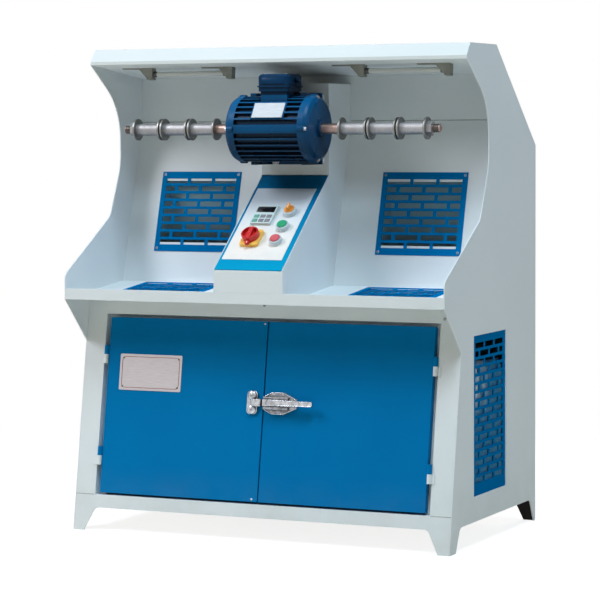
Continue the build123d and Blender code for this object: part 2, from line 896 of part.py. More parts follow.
selector += Pos(0, 0, selector_disc) * chamfer(selector_grip.faces().sort_by(Axis.Z)[-1].edges(), edge_break / 2)
nodes["selector_knob"] = console * spots["selector"] * selector

# Main switch: plate and a round knob, hollowed on both sides of its grip, with a pointer
switch_base = extrude(RectangleRounded(switch_plate_w, switch_plate_h, switch_plate_r), switch_plate_t)
switch_base = chamfer(switch_base.faces().sort_by(Axis.Z)[-1].edges(), edge_break)
nodes["switch_plate"] = console * spots["switch"] * (Pos(0, 0, legend_t) * switch_base - stem_hole)
knob_low = legend_t + switch_plate_t + seam_gap
knob_top = knob_low + switch_knob_t
knob = turned(
    [
        (0, knob_low - stem_len),
        (stem_r, knob_low - stem_len),
        (stem_r, knob_low),
        (switch_knob_r, knob_low),
        (switch_knob_r, knob_top - edge_break),
        (switch_knob_r - edge_break, knob_top),
        (0, knob_top),
    ]
)
hollows = Circle(switch_knob_r - switch_rim) - Rectangle(switch_grip_w, 2 * switch_knob_r)
knob -= Pos(0, 0, knob_top - switch_hollow) * extrude(hollows, 2 * switch_hollow)
pointer_len = switch_knob_r + switch_pointer_out
pointer = Pos(0, -pointer_len / 2) * Rectangle(switch_pointer_w, pointer_len)
pointer = fillet(pointer.vertices().sort_by(Axis.Y)[:2], switch_pointer_w / 3)
knob += Pos(0, 0, knob_low) * extrude(pointer, switch_pointer_t)
nodes["switch_knob"] = console * spots["switch"] * knob

# Motor: finned frame with feet on the column, stator, end shields and bearings
half_motor = motor_len / 2
body_half = half_motor - shield_len
mount_y = axis_y + shaft_height
on_axis = Pos(0, axis_y, axis_z)
pad_half = foot_pad_l / 2
nodes["motor_plate"] = block(
    -pad_half,
    pad_half,
    mount_y,
    column_y,
    axis_z - foot_reach + plate_margin,
    axis_z + foot_reach - plate_margin,
)
frame = rod(-body_half, body_half, frame_r)
fin_mid = frame_r + (fin_h - fin_root) / 2
fin = Pos(0, 0, fin_mid) * Box(2 * body_half, fin_t, fin_h + fin_root)
frame += [on_axis * Rot(i * 360 / fin_count, 0, 0) * fin for i in range(fin_count)]
frame += on_axis * Rot(90, 0, 0) * Pos(0, 0, fin_mid) * Box(2 * body_half, mid_fin_t, fin_h + fin_root)
tag_out = frame_r + fin_h
tag_turn = Rot(90 - tag_angle, 0, 0)
tag_boss = Box(tag_w + 2 * tag_pad, tag_h + tag_pad, 2 * fin_h)
frame += on_axis * tag_turn * Pos(box_x, 0, tag_out - fin_h) * tag_boss
frame -= on_axis * tag_turn * Pos(box_x, 0, tag_out + fin_h) * tag_boss
box_low = axis_z + frame_r + fin_h + box_seat
frame += block(
    box_x - box_neck / 2,
    box_x + box_neck / 2,
    axis_y - box_neck / 2,
    axis_y + box_neck / 2,
    axis_z + stator_r,
    box_low,
)
for sign in (-1, 1):
    low, high = sorted((axis_z + sign * foot_reach, axis_z + sign * (foot_reach - foot_pad_h)))
    frame += block(-pad_half, pad_half, mount_y - foot_pad_t, mount_y, low, high)
    for x in (-body_half + foot_web_in, body_half - foot_web_in):
        frame += block(x - foot_web_t / 2, x + foot_web_t / 2, axis_y, mount_y - foot_pad_t, low, high)
frame -= rod(-motor_len, motor_len, stator_r)
frame -= block(-motor_len, motor_len, mount_y, mount_y + frame_r, axis_z - height, axis_z + height)
nodes["motor_frame"] = frame
nodes["motor_tag"] = on_axis * tag_turn * Pos(box_x, 0, tag_out + tag_t / 2) * Box(tag_w, tag_h, tag_t)
core = pipe(-core_len / 2, core_len / 2, stator_r, rotor_r + air_gap)
coil_end = core_len / 2 + coil_len
nodes["stator"] = core + pipe(-coil_end, coil_end, stator_r - coil_wall, rotor_r + coil_wall)
bearing_x = body_half + shield_lip
shield = rod(body_half, half_motor, shield_r)
shield = chamfer(shield.edges().group_by(Axis.X)[-1], shield_edge, shield_slant)
shield = chamfer(shield.edges().group_by(Axis.X)[-1], shield_slant)
shield += rod(half_motor - shield_lip, half_motor + boss_len, boss_r)
shield -= rod(0, bearing_x + bearing_w, bearing_r)
shield -= rod(0, width, shaft_r + control_play)
nodes["end_shields"] = Compound(children=[shield, mirrored(shield)])
bearing = pipe(bearing_x, bearing_x + bearing_w, bearing_r, shaft_r + pin_play)
nodes["bearings"] = Compound(children=[bearing, mirrored(bearing)])

# Terminal box on top of the motor, with its lid and cable entry
box_spot = Pos(box_x, axis_y, box_low)
box_floor = Pos(0, 0, box_neck_h)
box_body = extrude(RectangleRounded(box_w, box_w, box_r), box_h)
box_body = chamfer(box_body.faces().sort_by(Axis.Z)[-1].edges(), box_break)
box_flange_w = box_w + 2 * box_rim
box_flange = extrude(RectangleRounded(box_flange_w, box_flange_w, box_r + box_rim), box_rim)
box_entry = Rot(0, 90, 0) * Cylinder(gland_r, box_w / 2 + gland_len, align=ON_TOP)
terminal_box = Pos(0, 0, box_neck_h / 2) * Box(box_neck, box_neck, box_neck_h)
terminal_box += box_floor * box_body
terminal_box += box_floor * Pos(0, 0, box_h - box_lid_h - box_rim) * box_flange
terminal_box += box_floor * Pos(0, 0, box_h - box_lid_h / 2) * box_entry
nodes["terminal_box"] = box_spot * terminal_box

# Arbor: one shaft through the motor, with flanges and spacers for the wheels
station_len = 2 * flange_t + spacer_len
pack_len = stations * station_len + (stations - 1) * 2 * flange_hub
seat_end = shoulder_x + pack_len
nut_end = seat_end + nut_t
tip_end = nut_end + tip_len
shaft_half = [
    (0, 0),
    (shaft_r, 0),
    (shaft_r, shoulder_x),
    (seat_r, shoulder_x),
    (seat_r, seat_end),
    (thread_r, seat_end),
    (thread_r, nut_end),
    (tip_r, nut_end),
    (tip_r, tip_end - tip_break),
    (tip_r - tip_break, tip_end),
    (0, tip_end),
]
right_half = on_axis * Rot(0, 90, 0) * turned(shaft_half)
nodes["arbor_shaft"] = right_half + mirrored(right_half)
nodes["rotor"] = pipe(-core_len / 2, core_len / 2, rotor_r, shaft_r)
flanges = []
spacers = []
for station in range(stations):
    x = shoulder_x + station * (station_len + 2 * flange_hub)
    far_x = x + flange_t + spacer_len
    near = pipe(x, x + flange_t, flange_r, seat_r)
    far = pipe(far_x, far_x + flange_t, flange_r, seat_r)
    if station > 0:
        near += pipe(x - flange_hub, x, flange_hub_r, seat_r)
    if station < stations - 1:
        far += pipe(far_x + flange_t, far_x + flange_t + flange_hub, flange_hub_r, seat_r)
    flanges += [near, far]
    spacers.append(pipe(x + flange_t, far_x, spacer_r, seat_r))
flanges += [mirrored(f) for f in flanges]
spacers += [mirrored(s) for s in spacers]
nodes["wheel_flanges"] = Compound(children=flanges)
nodes["spacer_tubes"] = Compound(children=spacers)
nut_blank = extrude(RegularPolygon(nut_w / 2, 6, major_radius=False), nut_t)
nut = Pos(seat_end, axis_y, axis_z) * Rot(0, 90, 0) * nut_blank - rod(0, width, thread_r)
nodes["arbor_nuts"] = Compound(children=[nut, mirrored(nut)])

# Lamps: a holder with its bracket at each end of a tube, under the ceiling
gusset_y = holder_d / 2 - gusset_t
bracket_x = -holder_w / 2
gusset_face = flat([(bracket_x, 0), (bracket_x, holder_h - strip_t), (bracket_x - gusset_l, strip_t), (bracket_x - gusset_l, 0)])
holder = Pos(0, 0, holder_h / 2) * Box(holder_w, holder_d, holder_h)
holder += Pos(0, holder_d / 2, 0) * extrude(Plane.XZ * gusset_face, gusset_t)
holder += Pos(bracket_x - strip_l / 2, gusset_y + gusset_t - strip_w / 2, strip_t / 2) * Box(strip_l, strip_w, strip_t)
holders = []
tubes = []
for x in lamp_x:
    spot = ceiling_face * Pos(x, -lamp_in, 0)
    holders += [spot * Pos(sign * (lamp_len + holder_w) / 2, 0, 0) * holder for sign in (-1, 1)]
    tubes.append(spot * Pos(0, 0, tube_drop) * Rot(0, 90, 0) * Cylinder(tube_r, lamp_len))
nodes["lamp_holders"] = Compound(children=holders)
nodes["lamp_tubes"] = Compound(children=tubes)

# Partition under the bench, with two spigots for the filter bags
part_z = rail_z + partition_lift
part_low = part_z - sheet_t
part_front = front_at(part_z) + (jamb_depth + 2 * sheet_t) / lean_cos
partition = block(-inner, inner, part_front, pan_rear, part_low, part_z)
spigot_low = part_low - spigot_len
sleeve_r = spigot_r + bag_play
bag_low = base_z + bag_rise
bag_profile = [
    (0, bag_low),
    (bag_r, bag_low),
    (bag_r, spigot_low - bag_taper),
    (sleeve_r + bag_wall, spigot_low),
    (sleeve_r + bag_wall, part_low - bag_wall),
    (sleeve_r, part_low - bag_wall),
    (sleeve_r, spigot_low - bag_play),
    (0, spigot_low - bag_play),
]
bags = []
for x in (bag_in - inner, bag_in + bag_pitch - inner):
    spot = Pos(x, rear_y - bag_back, 0)
    partition += spot * Pos(0, 0, spigot_low) * Cylinder(spigot_r, spigot_len, align=ON_TOP)
    partition -= spot * Pos(0, 0, part_low) * Cylinder(spigot_r - sheet_t, 4 * spigot_len)
    bags.append(spot * turned(bag_profile))
nodes["partition"] = partition
nodes["filter_bags"] = Compound(children=bags)

# Suction fan: scroll casing that blows out through the right vent cover
fan_x = inner - fan_in
fan_y = front_y + fan_front
fan_z = base_z + fan_rise
fan_axis = Pos(fan_x, fan_y, fan_z) * Rot(-90, 0, 0)


def fan_drum(radius, y0, y1):
    """A round bar on the fan's axis, between two depths behind its front."""
    return fan_axis * Pos(0, 0, y0) * Cylinder(radius, y1 - y0, align=ON_TOP)


def fan_scroll(inset, reach):
    """The drum of the fan with its outlet duct, drawn in by an inset."""
    drum = fan_drum(fan_r - inset, inset, fan_w - inset)
    return drum + block(
        fan_x,
        inner - fan_outlet_gap + reach,
        fan_y + inset,
        fan_y + fan_w - inset,
        fan_z + fan_r - fan_outlet_h + inset,
        fan_z + fan_r - inset,
    )


casing = fan_scroll(0, 0) - fan_scroll(fan_sheet, fan_outlet_gap)
casing -= fan_drum(fan_inlet_r, -fan_sheet, 2 * fan_sheet)
casing -= fan_drum(fan_hub_r + fan_sheet, fan_w - 2 * fan_sheet, fan_w + fan_sheet)
for sign in (-1, 1):
    stand_x = fan_x + sign * fan_stand_x
    stand = block(
        stand_x - fan_stand_w / 2,
        stand_x + fan_stand_w / 2,
        fan_y,
        fan_y + fan_w,
        base_z,
        fan_z - fan_stand_drop,
    )
    casing += stand - fan_drum(fan_r - fan_sheet, -fan_w, 2 * fan_w)
nodes["fan_casing"] = casing
motor_start = fan_w + seam_gap
motor_end = motor_start + fan_motor_len
fan_motor = fan_drum(fan_motor_r, motor_start, motor_end)
fan_motor += block(
    fan_x - cradle_w / 2,
    fan_x + cradle_w / 2,
    fan_y + motor_start + cradle_in,
    fan_y + motor_end - cradle_in,
    base_z,
    fan_z - cradle_drop,
)
shaft_stop = motor_start + fan_shaft_in
fan_motor -= fan_drum(fan_shaft_r + pin_play, 0, shaft_stop + fan_shaft_r)
nodes["fan_motor"] = fan_motor
disc_end = impeller_in + impeller_w
impeller = fan_drum(impeller_r, disc_end - impeller_disc, disc_end)
impeller += fan_drum(impeller_r, impeller_in, impeller_in + impeller_disc)
impeller -= fan_drum(impeller_eye_r, 0, impeller_in + 2 * impeller_disc)
impeller += fan_drum(fan_hub_r, disc_end - fan_hub_l, disc_end)
impeller += fan_drum(fan_shaft_r, disc_end - fan_hub_l, shaft_stop)
blade_mid = Pos((impeller_r + impeller_eye_r) / 2, 0, impeller_in + impeller_w / 2)
blade = blade_mid * Rot(0, 0, blade_angle) * Box(blade_l, blade_t, impeller_w - impeller_disc)
impeller += [fan_axis * Rot(0, 0, i * 360 / blade_count) * blade for i in range(blade_count)]
nodes["fan_impeller"] = impeller

# Doors: folded pans with the upper knuckle of each hinge welded to the edge
door_len = up(door_top_z) - up(door_low_z)
door_spot = Pos(door_gap / 2 + door_w / 2, up(door_low_z) + door_len / 2, -door_t / 2)
pan = fillet(Box(door_w, door_len, door_t).edges().filter_by(Axis.Z), door_corner)
pan -= Pos(0, 0, -door_sheet) * Box(door_w - 2 * door_sheet, door_len - 2 * door_sheet, door_t)
pan = door_spot * pan
upright = Rot(-90, 0, 0)
barrel = upright * Cylinder(knuckle_r, knuckle_len, align=ON_TOP)
bore = upright * Cylinder(hinge_pin_r + pin_play, 4 * knuckle_len)
pin_len = 2 * knuckle_len - knuckle_r
pin = upright * Cylinder(hinge_pin_r, pin_len, align=ON_TOP)
tab_w = jamb_gap / 2 + hinge_leaf
tab_mid = Pos(-tab_w / 2, knuckle_len / 2, -hinge_out - door_sheet / 2)
leaf_mid = Pos(tab_w / 2, knuckle_len / 2, -hinge_out / 2)
knuckles = []
for z in (door_low_z + hinge_low, door_top_z - hinge_high):
    above = Pos(hinge_x, up(z) + knuckle_play / 2, hinge_out)
    below = Pos(hinge_x, up(z) - knuckle_play / 2 - knuckle_len, hinge_out)
    pan += above * (barrel + tab_mid * Box(tab_w, knuckle_len, door_sheet))
    pan -= above * bore
    leaf = below * (barrel + leaf_mid * Box(tab_w, knuckle_len, hinge_out) + pin)
    behind = Pos(post_x + knuckle_r, up(z), -knuckle_r) * Box(2 * knuckle_r, 4 * knuckle_len, 2 * knuckle_r)
    knuckles.append(front * (leaf - behind))
door = front * pan
nodes["door_right"] = door
nodes["door_left"] = mirrored(door)
nodes["hinge_knuckles"] = Compound(children=knuckles + [mirrored(k) for k in knuckles])
plate_spot = Pos(-door_edge + plate_in + plate_w / 2, up(door_top_z - plate_drop), 0)
nodes["door_plate"] = front * plate_spot * extrude(RectangleRounded(plate_w, plate_h, plate_r), plate_t)

# Latch: keeper on the left door, base and sprung lever on the right door
latch_mid = front * Pos(0, up(door_top_z - latch_drop), 0)
keeper_start = -door_gap / 2 - keeper_in
nose_start = keeper_start + keeper_w / 2
nose_end = -door_gap / 2 - latch_gap
keeper = Pos(nose_start, 0, 0) * extrude(RectangleRounded(keeper_w, keeper_h, keeper_r), keeper_t)
nose = extrude(RectangleRounded(nose_end - nose_start, nose_h, nose_r), nose_t)
nose = chamfer(nose.faces().sort_by(Axis.Z)[-1].edges(), edge_break)
nodes["latch_keeper"] = latch_mid * (keeper + Pos((nose_start + nose_end) / 2, 0, 0) * nose)
latch_start = door_gap / 2 + latch_gap
latch_end = latch_start + latch_w
base_half = [
    (latch_start, latch_h / 2 - latch_taper),
    (latch_start + latch_front, latch_h / 2),
    (latch_end - latch_back, latch_h / 2),
    (latch_end, latch_end_h / 2),
]
base_face = flat([(x, -y) for x, y in base_half] + base_half[::-1])
latch_base = extrude(fillet(base_face.vertices(), latch_corner), latch_t)
latch_base = chamfer(latch_base.faces().sort_by(Axis.Z)[-1].edges(), edge_break)
pivot_x = door_gap / 2 + pivot_in
cheek_start = pivot_x - hub_r
cheek_stop = pivot_x + cheek_len
cheek_top = pivot_out + hub_r - edge_break
cheek_face = flat(
    [
        (cheek_start, 0),
        (cheek_stop, 0),
        (cheek_stop, cheek_end),
        (pivot_x + 2 * hub_r, cheek_top),
        (cheek_start, cheek_top),
    ]
)
cheek = extrude(Plane.XZ * cheek_face, cheek_t / 2, both=True)
cheek = chamfer(cheek.edges().group_by(Axis.Z)[-1], edge_break)
slot_w = lever_w + 2 * lever_play
for sign in (-1, 1):
    latch_base += Pos(0, sign * (slot_w + cheek_t) / 2, 0) * cheek
latch_base -= Pos(latch_start, 0, latch_t) * Box(2 * (pivot_x + hub_r), slot_w, 2 * (latch_t - latch_floor))
latch_base += Pos(pivot_x, 0, pivot_out) * upright * Cylinder(pivot_r, slot_w)
nodes["latch_base"] = latch_mid * latch_base
lever_end = pivot_x + lever_len
plan_face = flat(
    [
        (pivot_x - lever_nose, -lever_w / 2),
        (pivot_x, -lever_w / 2),
        (lever_end - tail_l, -tail_w / 2),
        (lever_end - tail_break, -tail_w / 2),
        (lever_end, -tail_w / 2 + tail_break),
        (lever_end, tail_w / 2 - tail_break),
        (lever_end - tail_break, tail_w / 2),
        (lever_end - tail_l, tail_w / 2),
        (pivot_x, lever_w / 2),
        (pivot_x - lever_nose, lever_w / 2),
    ]
)
side_face = flat(
    [
        (pivot_x - lever_nose, pivot_out - nose_r),
        (pivot_x, pivot_out - hub_r),
        (pivot_x + tail_l, pivot_out),
        (lever_end - tail_l, tail_out - tail_t),
        (lever_end, tail_out - tail_t),
        (lever_end, tail_out),
        (lever_end - tail_l, tail_out),
        (pivot_x, pivot_out + hub_r),
        (pivot_x - lever_nose, pivot_out + nose_r),
    ]
)
lever = extrude(plan_face, 2 * tail_out) & extrude(Plane.XZ * side_face, lever_w, both=True)
lever += Pos(pivot_x, 0, pivot_out) * upright * Cylinder(hub_r, lever_w)
lever -= Pos(pivot_x, 0, pivot_out) * upright * Cylinder(pivot_r + pin_play, 2 * lever_w)
nodes["latch_lever"] = latch_mid * lever

os.makedirs("parts", exist_ok=True)
for name, solid in nodes.items():
    export_step(solid, f"parts/{name}.step")
print(len(nodes), "nodes")
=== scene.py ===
import bpy
import bmesh
import json
from math import atan2, cos, exp, hypot, pi, radians, sin
from mathutils import Matrix, Vector


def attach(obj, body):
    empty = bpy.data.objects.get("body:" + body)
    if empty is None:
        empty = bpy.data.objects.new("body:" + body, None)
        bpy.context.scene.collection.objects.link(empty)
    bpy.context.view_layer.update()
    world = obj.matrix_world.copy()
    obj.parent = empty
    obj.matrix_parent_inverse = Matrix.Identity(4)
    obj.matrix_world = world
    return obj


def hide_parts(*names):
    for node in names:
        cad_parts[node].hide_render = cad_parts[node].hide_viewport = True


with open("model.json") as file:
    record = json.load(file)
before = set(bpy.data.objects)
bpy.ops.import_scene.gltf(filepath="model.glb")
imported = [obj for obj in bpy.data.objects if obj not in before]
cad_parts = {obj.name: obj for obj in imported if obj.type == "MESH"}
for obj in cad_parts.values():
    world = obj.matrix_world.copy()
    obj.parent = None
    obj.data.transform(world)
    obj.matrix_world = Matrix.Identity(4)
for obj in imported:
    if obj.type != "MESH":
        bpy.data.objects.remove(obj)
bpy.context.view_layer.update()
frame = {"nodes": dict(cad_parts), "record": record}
nodes = frame["nodes"]
scene = bpy.context.scene

# Axis of the motor and its arbor, and the middle of the covers to either side
AXIS_Y, AXIS_Z = -0.157, 1.182
COVER_X = 0.367

# Camera at the photograph's viewing angle
AZ, EL, ROLL = radians(25.1), radians(3.9), radians(-0.3)
TARGET, DISTANCE = Vector((0.042, -0.1078, 0.6829)), 7.2361
PHOTO_PX, FOCAL_PX, SENSOR_MM = 600, 2475.4, 36.0
right = Vector((cos(AZ), sin(AZ), 0))
back = Vector((sin(AZ) * cos(EL), -cos(AZ) * cos(EL), sin(EL)))
upward = back.cross(right)
cam_x = right * cos(ROLL) + upward * sin(ROLL)
cam_y = upward * cos(ROLL) - right * sin(ROLL)
cam_at = TARGET + back * DISTANCE
cam_data = bpy.data.cameras.new("camera")
cam_data.sensor_width = SENSOR_MM
cam_data.lens = FOCAL_PX / PHOTO_PX * SENSOR_MM
cam_data.clip_end = 60
camera = bpy.data.objects.new("camera", cam_data)
scene.collection.objects.link(camera)
camera.matrix_world = Matrix.Translation(cam_at) @ Matrix((cam_x, cam_y, back)).transposed().to_4x4()
scene.camera = camera


# Material building blocks
class Nodes:
    """A material's node tree, with short calls for the nodes used here."""

    def __init__(self, name):
        self.mat = bpy.data.materials.new(name)
        self.mat.use_nodes = True
        self.tree = self.mat.node_tree
        self.tree.nodes.clear()
        self.out = self.tree.nodes.new("ShaderNodeOutputMaterial")
        self.bsdf = self.tree.nodes.new("ShaderNodeBsdfPrincipled")
        self.join(self.bsdf.outputs[0], self.out.inputs["Surface"])

    def new(self, kind, **settings):
        node = self.tree.nodes.new(kind)
        for key, value in settings.items():
            setattr(node, key, value)
        return node

    def join(self, a, b):
        self.tree.links.new(a, b)

    def put(self, socket, value):
        if hasattr(value, "links"):
            self.join(value, socket)
        else:
            socket.default_value = value

    def coords(self, scale=(1, 1, 1)):
        place = self.new("ShaderNodeMapping")
        place.inputs["Scale"].default_value = scale
        self.join(self.new("ShaderNodeTexCoord").outputs["Object"], place.inputs["Vector"])
        return place.outputs[0]

    def noise(self, scale, detail=3.0, stretch=(1, 1, 1), rough=0.55):
        node = self.new("ShaderNodeTexNoise")
        node.inputs["Scale"].default_value = scale
        node.inputs["Detail"].default_value = detail
        node.inputs["Roughness"].default_value = rough
        self.join(self.coords(stretch), node.inputs["Vector"])
        return node.outputs["Fac"]

    def ramp(self, value, low, high, to_low=0.0, to_high=1.0):
        node = self.new("ShaderNodeMapRange", clamp=True)
        self.put(node.inputs["Value"], value)
        node.inputs["From Min"].default_value = low
        node.inputs["From Max"].default_value = high
        node.inputs["To Min"].default_value = to_low
        node.inputs["To Max"].default_value = to_high
        return node.outputs["Result"]

    def maths(self, kind, a, b):
        node = self.new("ShaderNodeMath", operation=kind)
        self.put(node.inputs[0], a)
        self.put(node.inputs[1], b)
        return node.outputs[0]

    def mix(self, factor, a, b):
        node = self.new("ShaderNodeMix", data_type="RGBA")
        self.put(node.inputs["Factor"], factor)
        self.put(node.inputs["A"], a)
        self.put(node.inputs["B"], b)
        return node.outputs["Result"]

    def bump(self, height, strength, distance, normal=None):
        node = self.new("ShaderNodeBump")
        node.inputs["Strength"].default_value = strength
        node.inputs["Distance"].default_value = distance
        self.join(height, node.inputs["Height"])
        if normal is not None:
            self.join(normal, node.inputs["Normal"])
        return node.outputs[0]

    def rounded(self, radius):
        """The surface normal with the edges eased over a radius."""
        soft = self.new("ShaderNodeBevel", samples=4)
        soft.inputs["Radius"].default_value = radius
        return soft.outputs[0]

    def edges(self, soft):
        """A mask that is 1 along the outer edges of the piece."""
        hard = self.new("ShaderNodeNewGeometry").outputs["Normal"]
        dot = self.new("ShaderNodeVectorMath", operation="DOT_PRODUCT")
        self.join(soft, dot.inputs[0])
        self.join(hard, dot.inputs[1])
        return self.ramp(dot.outputs["Value"], 0.98, 0.80)

    def crevice(self, reach, open_at=0.85, shut_at=0.35):
        """A mask that is 1 deep in gaps narrower than a reach."""
        node = self.new("ShaderNodeAmbientOcclusion", samples=6)
        node.inputs["Distance"].default_value = reach
        return self.ramp(node.outputs["AO"], open_at, shut_at)

    def axis(self, name):
        """One of the part's own coordinates, in metres."""
        split = self.new("ShaderNodeSeparateXYZ")
        self.join(self.new("ShaderNodeTexCoord").outputs["Object"], split.inputs[0])
        return split.outputs[name]


def rgb(r, g, b):
    """A colour written as it shows on screen, 0 to 255, in linear values."""
    out = []
    for c in (r, g, b):
        c = c / 255
        out.append(c / 12.92 if c <= 0.04045 else ((c + 0.055) / 1.055) ** 2.4)
    return (*out, 1.0)


def powder_coat(
    name, colour, shade, worn, rough=(0.38, 0.5), wear=0.5, peel=0.10, dust=0.0, gloss=0.3,
    gap_shade=None, inner=None, graded_tone_and_shade=None,
):
    """Sprayed paint on sheet steel: orange peel, cloudy tone, scuffs and edges rubbed thin.

    Dust lies near the floor, and painted shade darkens deep gaps; a tone comes in from one height to another,
    used as painted shade and as graded print; inner is a painted shade on the faces that look to the front.
    """
    n = Nodes(name)
    soft = n.rounded(0.0012)
    base = n.mix(n.ramp(n.noise(2.3, 4), 0.35, 0.7), colour, shade)
    base = n.mix(n.ramp(n.noise(900, 2), 0.62, 0.75, 0.0, 0.25), base, shade)
    scuffs = n.ramp(n.noise(38, 6, (1, 1, 0.25), 0.7), 0.66, 0.74, 0.0, 0.25)
    base = n.mix(scuffs, base, worn)
    if dust:
        low = n.ramp(n.axis("Z"), 0.20, 0.0, 0.0, dust)
        smear = n.maths("MULTIPLY", low, n.ramp(n.noise(11, 5), 0.3, 0.7))
        base = n.mix(smear, base, (0.46, 0.43, 0.37, 1))
    chips = n.maths("MULTIPLY", n.edges(soft), n.ramp(n.noise(70, 5), 0.45, 0.65, 0.0, wear))
    base = n.mix(chips, base, worn)
    # Painted shade: the colour darkens deep in narrow gaps
    if gap_shade:
        reach, tone = gap_shade
        base = n.mix(n.crevice(reach), base, tone)
    # A tone graded with height: painted shade, and on the console panel also graded print
    if graded_tone_and_shade:
        start, end, tone = graded_tone_and_shade
        base = n.mix(n.ramp(n.axis("Z"), start, end, 0.0, 0.62), base, tone)
    # Painted shade: a dark tone on the faces that look to the front
    if inner:
        split = n.new("ShaderNodeSeparateXYZ")
        n.join(n.new("ShaderNodeTexCoord").outputs["Normal"], split.inputs[0])
        base = n.mix(n.ramp(split.outputs["Y"], -0.3, -0.6), base, inner)
    n.join(base, n.bsdf.inputs["Base Color"])
    n.join(n.ramp(n.noise(6, 5), 0.3, 0.7, *rough), n.bsdf.inputs["Roughness"])
    n.bsdf.inputs["Specular IOR Level"].default_value = gloss
    n.join(n.bump(n.noise(520, 2), peel, 0.0004, soft), n.bsdf.inputs["Normal"])
    return n.mat


def turned_metal(name, colour, dark, rough, grain, stretch, stain=0.4, gap_shade=None, rust=0.0):
    """Bare metal with fine machining lines, a few dull patches, specks of rust and painted shade in its gaps.
    """
    n = Nodes(name)
    lines = n.noise(grain, 2, stretch, 0.6)
    patches = n.ramp(n.noise(26, 5), 0.45, 0.75, 0.0, stain)
    base = n.mix(n.ramp(lines, 0.3, 0.7), colour, dark)
    base = n.mix(patches, base, dark)
    if rust:
        specks = n.ramp(n.noise(70, 6, rough=0.7), 0.60, 0.70, 0.0, rust)
        base = n.mix(specks, base, (0.22, 0.12, 0.07, 1))
    # Painted shade: near black deep in narrow gaps
    if gap_shade:
        base = n.mix(n.crevice(gap_shade), base, (0.03, 0.03, 0.03, 1))
    n.join(base, n.bsdf.inputs["Base Color"])
    n.bsdf.inputs["Metallic"].default_value = 1.0
    n.join(n.ramp(lines, 0.3, 0.7, rough, rough + 0.18), n.bsdf.inputs["Roughness"])
    n.join(n.bump(lines, 0.25, 0.0002, n.rounded(0.0006)), n.bsdf.inputs["Normal"])
    return n.mat


def moulded(name, colour, shade, rough=0.35, grain=700, depth=0.12, fade=None):
    """Moulded plastic or print: faint tone, fine grain and rubbed edges; the colour may grade to a tone
    upwards.
    """
    n = Nodes(name)
    soft = n.rounded(0.0007)
    base = n.mix(n.ramp(n.noise(30, 4), 0.35, 0.7), colour, shade)
    if fade:
        start, end, tone = fade
        base = n.mix(n.ramp(n.axis("Z"), start, end), base, tone)
    rub = n.maths("MULTIPLY", n.edges(soft), n.ramp(n.noise(90, 4), 0.4, 0.7, 0.0, 0.3))
    base = n.mix(rub, base, (0.8, 0.8, 0.8, 1))
    n.join(base, n.bsdf.inputs["Base Color"])
    n.join(n.ramp(n.noise(60, 4), 0.3, 0.7, rough, rough + 0.15), n.bsdf.inputs["Roughness"])
    n.join(n.bump(n.noise(grain, 2), depth, 0.0003, soft), n.bsdf.inputs["Normal"])
    return n.mat


def woven(name, colour, shade):
    """Coarse filter cloth: crossing threads, slubs and grey polishing dust towards the foot."""
    n = Nodes(name)
    warp = n.new("ShaderNodeTexWave", wave_type="BANDS", bands_direction="Z")
    weft = n.new("ShaderNodeTexWave", wave_type="BANDS", bands_direction="DIAGONAL")
    for wave, turns in ((warp, 260), (weft, 190)):
        wave.inputs["Scale"].default_value = turns
        wave.inputs["Distortion"].default_value = 1.2
        n.join(n.coords(), wave.inputs["Vector"])
    weave = n.maths("MULTIPLY", warp.outputs["Fac"], weft.outputs["Fac"])
    base = n.mix(weave, shade, colour)
    base = n.mix(n.ramp(n.noise(14, 5), 0.4, 0.75, 0.0, 0.5), base, shade)
    base = n.mix(n.ramp(n.axis("Z"), 0.40, 0.20, 0.0, 0.40), base, (0.24, 0.23, 0.21, 1))
    n.join(base, n.bsdf.inputs["Base Color"])
    n.join(n.ramp(n.noise(40, 3), 0.3, 0.7, 0.8, 0.95), n.bsdf.inputs["Roughness"])
    n.bsdf.inputs["Sheen Weight"].default_value = 0.3
    n.join(n.bump(weave, 0.5, 0.0006), n.bsdf.inputs["Normal"])
    return n.mat


def fibre_mat(name, colour, pale, dirt):
    """Matted filter fibre: tangled strands, paler where it is loose, with caught dust."""
    n = Nodes(name)
    strands = n.noise(420, 4, (1, 1, 0.35), 0.75)
    base = n.mix(n.ramp(strands, 0.35, 0.65), dirt, colour)
    loose = n.maths("MULTIPLY", n.ramp(n.noise(17, 3), 0.42, 0.58), n.ramp(n.axis("Y"), 0.0, -0.12))
    loose = n.maths("MULTIPLY", loose, n.ramp(n.axis("Z"), 0.34, 0.44))
    base = n.mix(loose, base, pale)
    n.join(base, n.bsdf.inputs["Base Color"])
    n.join(n.ramp(n.noise(60, 3), 0.3, 0.7, 0.85, 0.98), n.bsdf.inputs["Roughness"])
    n.bsdf.inputs["Specular IOR Level"].default_value = 0.1
    n.bsdf.inputs["Sheen Weight"].default_value = 0.2
    n.join(n.bump(strands, 0.6, 0.0012), n.bsdf.inputs["Normal"])
    return n.mat


def dark_glass(name):
    """Smoked window of the display, with faint smudges."""
    n = Nodes(name)
    base = n.mix(n.noise(50, 4), (0.004, 0.004, 0.006, 1), (0.012, 0.011, 0.014, 1))
    n.join(base, n.bsdf.inputs["Base Color"])
    n.join(n.ramp(n.noise(45, 5), 0.4, 0.75, 0.06, 0.22), n.bsdf.inputs["Roughness"])
    n.join(n.bump(n.noise(300, 2), 0.03, 0.0002, n.rounded(0.0004)), n.bsdf.inputs["Normal"])
    return n.mat


def lamp_glass(name):
    """Opal tube, unlit, with a faint cloudy tone."""
    n = Nodes(name)
    base = n.mix(n.ramp(n.noise(9, 3), 0.35, 0.7), rgb(214, 218, 216), rgb(200, 206, 206))
    n.join(base, n.bsdf.inputs["Base Color"])
    n.join(n.ramp(n.noise(80, 3), 0.3, 0.7, 0.12, 0.2), n.bsdf.inputs["Roughness"])
    n.join(n.bump(n.noise(40, 2), 0.04, 0.0003), n.bsdf.inputs["Normal"])
    return n.mat


